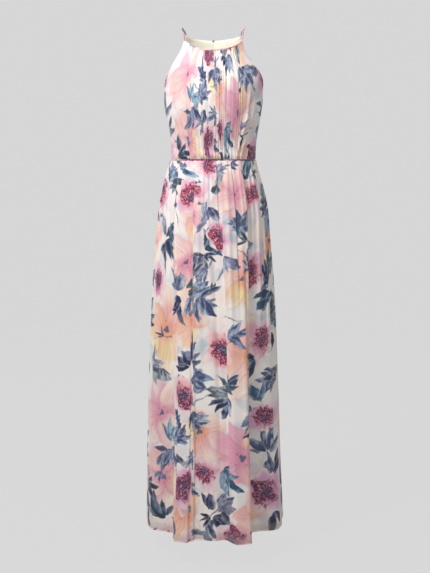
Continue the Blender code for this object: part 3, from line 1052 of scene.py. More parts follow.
    def _peony_heart(self, bloom: Bloom, spot: Spot, wet: Floats) -> None:
        """Lays out a peony's ragged heart, which the shader ruffles.

        Args:
            bloom: The peony.
            spot: The points near it.
            wet: How wet the cloth is there, from 0 to 1.
        """
        near, ink = spot.near, self.ink
        away, around = np.hypot(spot.dx, spot.dy), np.arctan2(spot.dy, spot.dx)
        r, turn = away / bloom.radius, around / (2 * math.pi) * self.fine.size
        ragged = self.heart_share + 0.30 * (self.fine.at(turn + 32, r * 5 + bloom.turn) - 0.5)
        heart = ease((ragged + 0.22 * (wet - 0.5) - r) * bloom.radius / 15 + 0.5)
        lit = 0.5 + 0.5 * np.cos(around - self.rng.uniform(-math.pi, math.pi))
        heart = heart * (1 - 0.75 * lit * ease(r * 3 - 0.4) * ease(wet * 1.8))
        ink.tint(near, hex_colour(self.peony_heart), 0.7 * heart)
        ink.leaf_inside[near] = np.minimum(ink.leaf_inside[near], 9 - 18 * heart)
        plum = self.rng.uniform(0.05, 0.35) + 0.3 * ease((bloom.down - 400) / 500)
        core = np.maximum(ease((0.26 + 0.14 * (wet - 0.5) - r) * 5 + 0.4), plum)
        better = heart > ink.heart[near]
        taken = near[better]
        spokes = self.ruffles_round / (2 * math.pi)
        ring = np.column_stack([spokes * np.cos(around), spokes * np.sin(around), away / self.ruffle_mm])
        ink.heart[taken], ink.core[taken] = heart[better], core[better]
        ink.ruffle[taken] = ring[better] + [0, 0, bloom.across]

    def _leaf(
        self, root: tuple[float, float], growth: Growth, inks: tuple[str, str], lightness: float
    ) -> None:
        """Paints one pointed leaf, light on one side of its vein and dark on the other.

        Args:
            root: Where the leaf grows from.
            growth: How it grows.
            inks: Its dark and its light colour.
            lightness: Added to how much of it is light.
        """
        spot = self._near(*root, 1.3 * growth.length)
        near, ink = spot.near, self.ink
        inside, s, side, half = self._blade(spot, growth, 0.72, 0.9)
        inside = inside - 0.14 * half * np.abs(np.sin(math.pi * (2.5 * s + 0.2 * np.sign(side))))
        parting = 0.55 * np.exp(-(((inside + 1.8) / 2.0) ** 2)) * (s > 0.2) * (inside <= 0)
        ink.leaf[near] = mix(ink.leaf[near], hex_colour(self.leaf_parting), parting)
        taken = (inside > 0) | (inside > ink.leaf_inside[near])
        damp = self._mottle(self.fine, near, 14)
        wash = self._mottle(self.broad, near, 29, 2, 6)
        dark, light = (hex_colour(code) for code in inks)
        tone = 0.34 + lightness + 0.40 * side + 1.0 * (damp - 0.5) + 0.9 * (wash - 0.5)
        tone = tone + 0.12 * np.sin(6.5 * side + 4 * s + growth.angle)
        colour = mix(dark, light, 0.95 * ease(tone))
        colour = mix(colour, light * 1.06, 0.6 * ease((s - 0.45) * 2) * wash)
        colour = colour * (1 - 0.16 * np.exp(-np.maximum(inside, 0) / 1.4)[:, None])
        vein = 0.5 * np.exp(-((side * half / 1.3) ** 2)) * (s > 0.08) * (s < 0.8)
        colour = mix(colour, hex_colour(self.leaf_veins[int(lightness > 0.2)]), vein)
        deepened = float(ease((root[1] - self.deep_from) / self.deep_over))
        colour = colour * (1 - deepened * np.array(self.deep_tint))
        ink.leaf[near[taken]] = np.clip(colour[taken], 0, 1)
        ink.leaf_inside[near[taken]] = inside[taken]

    def _leaf_shadows(self, bloom: Bloom) -> None:
        """Washes a few faint soft-edged leaves onto the ground round a motif.

        Args:
            bloom: The motif.
        """
        rng = self.rng
        for _ in range(3):
            pale = hex_colour(self.leaf_shadows[int(rng.integers(len(self.leaf_shadows)))])
            angle, length = rng.uniform(0, 360), rng.uniform(60, 105)
            growth = Growth(angle, length, length * rng.uniform(0.16, 0.26), rng.uniform(-0.3, 0.3))
            x = bloom.across + 0.6 * bloom.radius * math.cos(math.radians(angle))
            y = bloom.down + 0.6 * bloom.radius * math.sin(math.radians(angle))
            spot = self._near(x, y, 1.3 * length)
            leaf = self._blade(spot, growth, 0.75, 0.9)
            wash = self._mottle(self.broad, spot.near, 24, 4)
            strength = ease(leaf.inside / 8 + 0.4) * (0.05 + 0.45 * wash) * (1 - 0.5 * leaf.along)
            self.ink.tint(spot.near, pale, strength)

    def _leaf_cluster(self, bloom: Bloom) -> None:
        """Paints a dense patch of leaves: fans that spread all round from near one stalk.

        Args:
            bloom: The cluster.
        """
        fans = round(bloom.radius / self.fan_every_mm)
        for fan in range(fans):
            direction = bloom.turn + (fan * 2.5 + self.rng.uniform(-0.4, 0.4)) * 360 / fans
            self._leaf_fan(bloom, direction, self.rng.uniform(0.0, 0.26))

    def _leaf_fan(self, bloom: Bloom, direction: float, start: float) -> None:
        """Paints a fan of pointed leaves that spreads outwards from a motif.

        Args:
            bloom: The motif.
            direction: Which way the fan points, in degrees.
            start: How far out it starts, as a share of the motif's radius.
        """
        rng = self.rng
        inks = self.leaf_inks[int(rng.integers(len(self.leaf_inks)))]
        turn = math.radians(direction)
        reach = bloom.radius * rng.uniform(start, start + 0.2)
        x, y = bloom.across + reach * math.cos(turn), bloom.down + reach * math.sin(turn)
        count, mood = int(rng.integers(3, 6)), rng.uniform(-0.28, 0.30)
        for leaf in range(count):
            off = leaf - (count - 1) / 2
            length = rng.uniform(52, 94) * (1 - 0.12 * abs(off))
            root = x + rng.uniform(-7, 7), y + rng.uniform(-7, 7)
            angle = direction + off * rng.uniform(22, 34) + rng.uniform(-8, 8)
            growth = Growth(angle, length, length * rng.uniform(0.14, 0.24), rng.uniform(-0.3, 0.3))
            self._leaf(root, growth, inks, mood + rng.uniform(-0.15, 0.2))

    def _sprig(self) -> None:
        """Paints three small leaves on a thin bent stalk, somewhere on the cloth."""
        rng = self.rng
        root = rng.uniform(0, self.repeat_across), rng.uniform(0, self.repeat_down)
        angle = rng.uniform(0, 360)
        inks = self.sprig_inks[int(rng.integers(len(self.sprig_inks)))]
        stalk = Growth(angle + 170, rng.uniform(34, 60), 2.0, rng.uniform(-0.6, 0.6))
        self._leaf(root, stalk, inks, -0.2)
        for leaf in (-1, 0, 1):
            way = angle + 38 * leaf + rng.uniform(-8, 8)
            growth = Growth(way, rng.uniform(26, 46), rng.uniform(3.5, 6.5), rng.uniform(-0.3, 0.3))
            self._leaf(root, growth, inks, 0.2)


def add_node(tree: Tree, kind: str, inputs: dict[Any, Any] | None = None, **settings: Any) -> Node:
    """Adds one node to a tree.

    Args:
        tree: The tree.
        kind: The node's type.
        inputs: Its sockets, by name or number: a value, an output to link, or a node, whose first
            working output is linked.
        settings: Its properties.

    Returns:
        The node.
    """
    made = tree.nodes.new(kind)
    for name, value in settings.items():
        setattr(made, name, value)
    for name, value in (inputs or {}).items():
        if isinstance(value, Node):
            value = next(output for output in value.outputs if output.enabled)
        if isinstance(value, Socket):
            tree.links.new(value, made.inputs[name])
        else:
            made.inputs[name].default_value = value
    return made


def new_finish(name: str) -> tuple[Material, Tree]:
    """Starts a material.

    Args:
        name: Its name.

    Returns:
        The material, and its node tree, still empty.
    """
    made = bpy.data.materials.new(name)
    made.use_nodes = True
    made.node_tree.nodes.clear()
    return made, made.node_tree


@dataclass(frozen=True)
class PrintedChiffon:
    """Polyester crepe chiffon, dye-printed: matt and even, with a faint bloom where light grazes it.

    The print's colours come with the mesh. The shader sharpens the leaves' edges, grains the dye
    and raises the crepe's pebble, about 1.2 mm across where the real one is finer. Along the hem,
    where the chiffon hangs alone, it mixes in a painted shade for the dim inside seen through it.
    """

    name: str = "printed_chiffon"
    roughness: float = 0.80
    sheen: float = 0.22
    sheen_roughness: float = 0.45
    specular: float = 0.28
    edge_wobble_mm: float = 5.0
    blotch_mm: float = 9.0
    grain_mm: float = 2.2
    crepe_mm: float = 1.2
    crepe_height: float = 0.00035
    streak_mm: float = 3.2
    streak_length_mm: float = 70.0
    streak_height: float = 0.0018
    speck_mm: float = 2.4
    shade_seen_through: str = "#A79C98"  # painted shade: a fixed grey-beige for the dim inside of the skirt, seen through the chiffon where it hangs alone
    ruffle_inks: tuple[tuple[float, str], ...] = (
        (0.22, "#6A2444"),
        (0.42, "#9C3A56"),
        (0.58, "#C05E76"),
        (0.74, "#E6A8B2"),
        (0.88, "#F8E2DE"),
    )
    core_inks: tuple[tuple[float, str], ...] = (
        (0.22, "#302E4E"),
        (0.42, "#54405F"),
        (0.60, "#7E5270"),
        (0.78, "#B08CA4"),
        (0.94, "#D8C2CC"),
    )

    def build(self) -> Material:
        """Makes the material.

        Returns:
            The material.
        """
        made, tree = new_finish(self.name)
        add = partial(add_node, tree)
        place = add("ShaderNodeUVMap", uv_map="cloth")
        ground, leaf, heart_gathers_shade = (
            add("ShaderNodeAttribute", attribute_name=name) for name in ("ground", "leaf", "heart_gathers_shade")
        )
        parts = add("ShaderNodeSeparateColor", {"Color": heart_gathers_shade})
        # The blue channel is how far painted shade is mixed in, at the sheer hem.
        heart, gathered, sheer_shade = (parts.outputs[name] for name in ("Red", "Green", "Blue"))
        sizes = (self.edge_wobble_mm, 3), (self.blotch_mm, 4), (self.grain_mm, 4), (self.crepe_mm, 2)
        wobble, blotch, grain, pebble = (
            add("ShaderNodeTexNoise", {"Vector": place, "Scale": 1000 / mm, "Detail": detail})
            for mm, detail in sizes
        )
        shift, wash, light = (
            add("ShaderNodeMath", {0: noise, 1: gain, 2: base}, operation="MULTIPLY_ADD")
            for noise, gain, base in ((wobble, 0.30, -0.15), (blotch, 1.5, 0.27), (grain, 0.14, 0.93))
        )
        ruffled, torn = self._ruffle(tree, place, heart_gathers_shade.outputs["Alpha"])
        heart_edge = add("ShaderNodeMath", {0: heart, 1: torn}, operation="ADD")
        leaf_edge = add("ShaderNodeMath", {0: leaf.outputs["Alpha"], 1: shift}, operation="ADD")
        ragged, cover = (
            add(
                "ShaderNodeMapRange",
                {"Value": edge, "From Min": low, "From Max": high},
                interpolation_type="SMOOTHSTEP",
            )
            for edge, low, high in ((heart_edge, 0.34, 0.62), (leaf_edge, 0.33, 0.67))
        )
        painted = add("ShaderNodeHueSaturation", {"Value": wash, "Color": leaf})
        flecked = add("ShaderNodeMix", {"Factor": ragged, 6: ground, 7: ruffled}, data_type="RGBA")
        inked = add("ShaderNodeMix", {"Factor": cover, 6: flecked, 7: painted}, data_type="RGBA")
        dyed = add("ShaderNodeHueSaturation", {"Value": light, "Color": inked})
        # Where the hem hangs sheer, the dyed colour is mixed towards a fixed painted shade of the skirt's
        # dim inside.
        shade_seen_through = socket_colour(self.shade_seen_through)
        colour = add("ShaderNodeMix", {"Factor": sheer_shade, 6: dyed, 7: shade_seen_through}, data_type="RGBA")
        cloth = {
            "Base Color": colour,
            "Roughness": self.roughness,
            "Specular IOR Level": self.specular,
            "Sheen Weight": self.sheen,
            "Sheen Roughness": self.sheen_roughness,
            "Normal": self._bump(tree, place, gathered, pebble),
        }
        add("ShaderNodeOutputMaterial", {"Surface": add("ShaderNodeBsdfPrincipled", cloth)})
        return made

    def _ruffle(self, tree: Tree, place: Node, core: Socket) -> tuple[Node, Node]:
        """Draws the tips of the peonies' petals, which radiate from each heart.

        Args:
            tree: The material's nodes.
            place: Where a point lies on the flat cloth.
            core: 0 for wine and blush tips, 1 for plum and navy ones.

        Returns:
            Their colour, and how far each tip stands out past the heart's edge or falls short.
        """
        add = partial(add_node, tree)
        ring = add("ShaderNodeAttribute", attribute_name="ruffle").outputs["Vector"]
        cells = {"Vector": ring, "Scale": 1.0, "Randomness": 0.9}
        tips = add("ShaderNodeTexVoronoi", cells, feature="F1")
        own = add("ShaderNodeSeparateColor", {"Color": tips.outputs["Color"]})
        speck = add("ShaderNodeTexNoise", {"Vector": place, "Scale": 1000 / self.speck_mm, "Detail": 3})
        tone = 0.07
        for value, share in ((tips, -0.50), (own, 0.50), (speck, 0.80)):
            tone = add("ShaderNodeMath", {0: value, 1: share, 2: tone}, operation="MULTIPLY_ADD")
        ramps = []
        for inks in (self.ruffle_inks, self.core_inks):
            ramps.append(add("ShaderNodeValToRGB", {"Fac": tone}))
            elements = ramps[-1].color_ramp.elements
            for i, (at, ink) in enumerate(inks):
                element = elements[i] if i < len(elements) else elements.new(at)
                element.position = at
                element.color = socket_colour(ink)
        torn = add("ShaderNodeMath", {0: own, 1: 0.5, 2: -0.25}, operation="MULTIPLY_ADD")
        return add("ShaderNodeMix", {"Factor": core, 6: ramps[0], 7: ramps[1]}, data_type="RGBA"), torn

    def _bump(self, tree: Tree, place: Node, gathered: Socket, pebble: Node) -> Node:
        """Raises the crepe's pebble all over, and fine crinkles that run down the gathers.

        Args:
            tree: The material's nodes.
            place: Where a point lies on the flat cloth.
            gathered: 1 where the cloth is gathered tight.
            pebble: The pebble's height.

        Returns:
            The surface's normal.
        """
        add = partial(add_node, tree)
        narrow = (1000 / self.streak_mm, 1000 / self.streak_length_mm, 1)
        stretch = add("ShaderNodeMapping", {"Vector": place, "Scale": narrow})
        streak = add("ShaderNodeTexNoise", {"Vector": stretch, "Scale": 1.0, "Detail": 3})
        height = add("ShaderNodeMath", {0: streak, 1: gathered}, operation="MULTIPLY")
        crinkle = {"Height": height, "Strength": 0.40, "Distance": self.streak_height}
        low = add("ShaderNodeBump", crinkle)
        crepe = {"Height": pebble, "Strength": 0.25, "Distance": self.crepe_height, "Normal": low}
        return add("ShaderNodeBump", crepe)


@dataclass(frozen=True)
class PlainCloth:
    """Cloth dyed in one colour, with a second tone close to it and its threads raised a little."""

    name: str
    light: str
    shade: str
    roughness: float
    cloud_mm: float  # how broad the changes of tone are
    thread_mm: float
    raised: float
    sheen: float
    thread_height: float = 0.0002

    def build(self) -> Material:
        """Makes the material.

        Returns:
            The material.
        """
        made, tree = new_finish(self.name)
        add = partial(add_node, tree)
        place = add("ShaderNodeTexCoord").outputs["Object"]
        cloud, weave = (
            add("ShaderNodeTexNoise", {"Vector": place, "Scale": 1000 / mm, "Detail": 2})
            for mm in (self.cloud_mm, self.thread_mm)
        )
        light, shade = socket_colour(self.light), socket_colour(self.shade)
        threads = {"Height": weave, "Strength": self.raised, "Distance": self.thread_height}
        cloth = {
            "Base Color": add("ShaderNodeMix", {"Factor": cloud, 6: light, 7: shade}, data_type="RGBA"),
            "Roughness": self.roughness,
            "Sheen Weight": self.sheen,
            "Normal": add("ShaderNodeBump", threads),
        }
        add("ShaderNodeOutputMaterial", {"Surface": add("ShaderNodeBsdfPrincipled", cloth)})
        return made


# Polyester lining, woven and calendered: cream and smooth, with a soft low gloss.
CREAM_LINING = PlainCloth("cream_lining", "#FFFBEE", "#F6F0DC", 0.58, 71.0, 0.8, 0.2, 0.15)
# Dark crepe stretched over a button's shell, which presses its pebble flat.
BUTTON_CLOTH = PlainCloth("button_cloth", "#3A3C4C", "#242633", 0.50, 0.5, 0.5, 0.3, 0.0)
# Spun polyester thread: matt, with a twist too fine to see.
SEWING_THREAD = PlainCloth("sewing_thread", "#CDB8B4", "#A8918F", 0.85, 1.1, 0.6, 0.1, 0.0)


@dataclass(frozen=True)
class StudioPaper:
    """Pale grey background paper, lit evenly from behind: dead matt, and it glows a little."""

    name: str = "studio_paper"
    colour: str = "#303030"
    glow: float = 0.663

    def build(self) -> Material:
        """Makes the material.

        Returns:
            The material.
        """
        made, tree = new_finish(self.name)
        paper = {
            "Base Color": socket_colour(self.colour),
            "Roughness": 1.0,
            "Specular IOR Level": 0.0,
            "Emission Color": (1.0, 1.0, 1.0, 1.0),
            "Emission Strength": self.glow,
        }
        shader = add_node(tree, "ShaderNodeBsdfPrincipled", paper)
        add_node(tree, "ShaderNodeOutputMaterial", {"Surface": shader})
        return made


@dataclass
class Finishes:
    """Every material of the dress, made once."""

    chiffon: Material = field(default_factory=PrintedChiffon().build)
    lining: Material = field(default_factory=CREAM_LINING.build)
    button: Material = field(default_factory=BUTTON_CLOTH.build)
    thread: Material = field(default_factory=SEWING_THREAD.build)


def new_mesh(name: str, points: Floats, faces: list[list[int]]) -> Mesh:
    """Makes a smooth mesh.

    Args:
        name: Its name.
        points: Its points, in an array of any shape that ends in 3.
        faces: The points' numbers round each face.

    Returns:
        The mesh.
    """
    mesh = bpy.data.meshes.new(name)
    mesh.from_pydata(points.reshape(-1, 3).tolist(), [], faces)
    mesh.shade_smooth()
    return mesh


def grid_mesh(name: str, points: Floats) -> Mesh:
    """Makes a mesh of quads over a grid of points, facing outwards.

    Args:
        name: Its name.
        points: The points, in rows.

    Returns:
        The mesh.
    """
    rows, columns = points.shape[:2]
    index = np.arange(rows * columns).reshape(rows, columns)
    faces = np.stack([index[:-1, :-1], index[:-1, 1:], index[1:, 1:], index[1:, :-1]], axis=-1)
    middle = (rows // 2, columns // 2)
    across = points[middle[0], middle[1] + 1] - points[middle]
    along = points[middle[0] + 1, middle[1]] - points[middle]
    if np.cross(across, along) @ outward(points)[middle] < 0:
        faces = faces[..., ::-1]
    return new_mesh(name, points, faces.reshape(-1, 4).tolist())


def ring_faces(index: Indices, order: tuple[int, ...] = (0, 1, 2, 3)) -> list[list[int]]:
    """Joins rings of points, numbered by rows, by quads whose corners run in some order."""
    corners = [index[:-1], np.roll(index[:-1], -1, 1), np.roll(index[1:], -1, 1), index[1:]]
    return np.stack([corners[i] for i in order], axis=-1).reshape(-1, 4).tolist()


def add_object(mesh: Mesh) -> Object:
    """Puts a mesh into the scene.

    Args:
        mesh: The mesh, which has the object's name.

    Returns:
        The object.
    """
    added = bpy.data.objects.new(mesh.name, mesh)
    bpy.context.scene.collection.objects.link(added)
    return added


def add_piece(mesh: Mesh, node: str | None = None) -> Object:
    """Puts a mesh into the scene as a piece that moves with the dress.

    Args:
        mesh: The mesh, which has the piece's name.
        node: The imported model's node that it replaces, if any.

    Returns:
        The piece.
    """
    piece = add_object(mesh)
    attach(piece, BODY)
    if node is not None:
        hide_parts(node)
    return piece


def add_wall(piece: Object, thickness: float) -> None:
    """Gives a face its thickness inwards, with its second material on the inner side.

    Args:
        piece: The face.
        thickness: The wall's, in metres.
    """
    wall = piece.modifiers.new("wall", "SOLIDIFY")
    wall.thickness = thickness
    wall.offset = -1
    wall.material_offset = 1


@dataclass
class ClothGrid:
    """A panel's outer face as rows of points, with each point's place on the flat cloth."""

    points: Floats  # rows, columns and 3, in metres
    flat: Floats  # rows, columns and 2, in mm across and down the print
    gathered: Floats  # 1 where the cloth is gathered tight, 0 where it lies smooth
    sheer_shade: Floats  # how far the cloth is mixed towards painted shade, where it hangs sheer over the dim inside

    def moved(self, out: float) -> Floats:
        """The points, moved so many metres out of the cloth."""
        return self.points + out * outward(self.points)


@dataclass
class Tailor:
    """Turns grids and lines of points into finished pieces."""

    finishes: Finishes
    print: FloralPrint = field(default_factory=FloralPrint)
    leaf_edge_mm: float = 6.0  # how far from a leaf's edge the mesh still tells the distance to it

    def panel(self, node: str, grid: ClothGrid, backed: bool) -> Object:
        """Makes a panel of printed cloth.

        Args:
            node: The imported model's node that it replaces.
            grid: Its outer face.
            backed: Whether it is made up with lining on its inner face. Otherwise it is chiffon
                alone, a single sheet as fine as the print.

        Returns:
            The piece.
        """
        mesh = grid_mesh(node + "_chiffon", grid.points)
        self._ink(mesh, grid)
        mesh.materials.append(self.finishes.chiffon)
        piece = add_piece(mesh, node)
        if backed:
            mesh.materials.append(self.finishes.lining)
            add_wall(piece, WALL)
        return piece

    def lining(self, name: str, points: Floats, node: str | None = None) -> Object:
        """Makes a plain panel of lining.

        Args:
            name: The piece's name.
            points: Its outer face, in rows.
            node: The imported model's node that it replaces, if any.

        Returns:
            The piece.
        """
        mesh = grid_mesh(name, points)
        mesh.materials.append(self.finishes.lining)
        mesh.materials.append(self.finishes.lining)
        piece = add_piece(mesh, node)
        add_wall(piece, LINING_WALL)
        return piece

    def cord(
        self,
        name: str,
        line: Floats,
        radius: Floats | float,
        flat: Floats | None = None,
        slot: str = "printed_chiffon",
        node: str | None = None,
        closed: bool = False,
        sides: int = 10,
    ) -> Object:
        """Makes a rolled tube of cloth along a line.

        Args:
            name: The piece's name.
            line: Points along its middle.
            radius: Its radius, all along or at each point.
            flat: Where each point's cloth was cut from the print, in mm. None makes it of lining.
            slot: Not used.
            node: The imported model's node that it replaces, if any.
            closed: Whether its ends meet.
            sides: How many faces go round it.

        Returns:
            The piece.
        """
        count = len(line)
        ahead = np.roll(line, -1, axis=0) - np.roll(line, 1, axis=0) if closed else np.gradient(line, axis=0)
        ahead /= np.linalg.norm(ahead, axis=1, keepdims=True)
        out = np.zeros_like(line)
        guide = np.array([0.12, 0.31, 0.94])  # turned as little as the line allows from point to point
        for i in range(count):
            guide = guide - ahead[i] * (guide @ ahead[i])
            guide /= np.linalg.norm(guide)
            out[i] = guide
        beside = np.cross(ahead, out)
        turn = np.linspace(0, 2 * math.pi, sides, endpoint=False)
        spokes = out[:, None] * np.cos(turn)[None, :, None] + beside[:, None] * np.sin(turn)[None, :, None]
        rings = line[:, None] + np.broadcast_to(radius, count)[:, None, None] * spokes
        index = np.arange(count * sides).reshape(count, sides)
        if closed:
            faces = ring_faces(np.concatenate([index, index[:1]]))
        else:
            faces = ring_faces(index) + [index[0][::-1].tolist(), index[-1].tolist()]
        mesh = new_mesh(name, rings, faces)
        if flat is not None:
            around = 1000 * np.mean(radius) * turn
            places = flat[:, None] + np.stack([around, 0 * around], axis=-1)[None]
            plain = np.zeros(rings.shape[:2])
            self._ink(mesh, ClothGrid(rings, places, plain, plain))
        mesh.materials.append(self.finishes.lining if flat is None else self.finishes.chiffon)
        return add_piece(mesh, node)

    def _ink(self, mesh: Mesh, grid: ClothGrid) -> None:
        """Stores the print, and the cloth's flat place in metres, on a mesh.

        Args:
            mesh: The mesh.
            grid: The cloth, with the mesh's points in the same order.
        """
        flat = grid.flat.reshape(-1, 2)
        ink = self.print.draw(flat[:, 0], flat[:, 1])
        cover = np.clip(0.5 + ink.leaf_inside / (2 * self.leaf_edge_mm), 0, 1)
        one = np.ones(len(flat))
        layers = {
            "ground": np.column_stack([to_linear(np.clip(ink.ground, 0, 1)), one]),
            "leaf": np.column_stack([to_linear(ink.leaf), cover]),
            # Blue is how far painted shade is mixed in, where the hem hangs sheer.
            "heart_gathers_shade": np.column_stack([ink.heart, grid.gathered.ravel(), grid.sheer_shade.ravel(), ink.core]),
        }
        for name, values in layers.items():
            attribute = mesh.attributes.new(name, "FLOAT_COLOR", "POINT")
            attribute.data.foreach_set("color", values.astype(np.float32).ravel())
        ruffle = mesh.attributes.new("ruffle", "FLOAT_VECTOR", "POINT")
        ruffle.data.foreach_set("vector", ink.ruffle.astype(np.float32).ravel())
        corners = np.zeros(len(mesh.loops), np.int32)
        mesh.loops.foreach_get("vertex_index", corners)
        layer = mesh.uv_layers.new(name="cloth")
        layer.data.foreach_set("uv", (flat[corners] / 1000).astype(np.float32).ravel())


@dataclass
class Stitching:
    """Rows of machine stitches, laid by one Geometry Nodes tree."""

    thread: Material
    spacing: float = 0.0032
    length: float = 0.0024
    thickness: float = 0.0005
    tree: Tree = field(init=False)

    def __post_init__(self) -> None:
        """Builds the tree, which sets a small rounded stitch at each step along a line of edges."""
        self.tree = tree = bpy.data.node_groups.new("machine_stitches", "GeometryNodeTree")
        for name, kind in (
            ("Geometry", "Geometry"),
            ("Spacing", "Float"),
            ("Stitch length", "Float"),
            ("Thread thickness", "Float"),
            ("Thread", "Material"),
        ):
            tree.interface.new_socket(name, in_out="INPUT", socket_type="NodeSocket" + kind)
        tree.interface.new_socket("Geometry", in_out="OUTPUT", socket_type="NodeSocketGeometry")
        add = partial(add_node, tree)
        given = add("NodeGroupInput").outputs
        line = add("GeometryNodeMeshToCurve", {"Mesh": given["Geometry"]})
        spaced = {"Curve": line, "Length": given["Spacing"]}
        steps = add("GeometryNodeResampleCurve", spaced, mode="LENGTH")
        stitch = add("GeometryNodeMeshUVSphere", {"Segments": 6, "Rings": 4, "Radius": 0.5})
        width, length = given["Thread thickness"], given["Stitch length"]
        size = add("ShaderNodeCombineXYZ", {"X": width, "Y": width, "Z": length})
        along = add("GeometryNodeInputTangent")
        facing = add("FunctionNodeAlignRotationToVector", {"Vector": along}, axis="Z")
        sewn = {"Points": steps, "Instance": stitch, "Rotation": facing, "Scale": size}
        laid = add("GeometryNodeInstanceOnPoints", sewn)
        real = add("GeometryNodeRealizeInstances", {"Geometry": laid})
        dressed = add("GeometryNodeSetMaterial", {"Geometry": real, "Material": given["Thread"]})
        add("NodeGroupOutput", {"Geometry": dressed})

    def lay(self, name: str, lines: Sequence[Floats]) -> Object:
        """Sews rows of stitches along some lines.

        Args:
            name: The piece's name.
            lines: The lines, each an array of points.

        Returns:
            The piece, as one plain mesh.
        """
        edges, start = [], 0
        for line in lines:
            edges += [(i, i + 1) for i in range(start, start + len(line) - 1)]
            start += len(line)
        path = bpy.data.meshes.new(name + "_path")
        path.from_pydata(np.concatenate(lines).tolist(), edges, [])
        guide = add_object(path)
        modifier = guide.modifiers.new("stitches", "NODES")
        modifier.node_group = self.tree
        wanted = {
            "Spacing": self.spacing,
            "Stitch length": self.length,
            "Thread thickness": self.thickness,
            "Thread": self.thread,
        }
        for item in self.tree.interface.items_tree:
            if item.in_out == "INPUT" and item.name in wanted:
                modifier[item.identifier] = wanted[item.name]
        ready = guide.evaluated_get(bpy.context.evaluated_depsgraph_get())
        mesh = bpy.data.meshes.new_from_object(ready)
        bpy.data.objects.remove(guide)
        mesh.name = name
        mesh.shade_smooth()
        return add_piece(mesh)


@dataclass
class Part:
    """A part of the dress, with those who make it."""

    tailor: Tailor
    stitching: Stitching


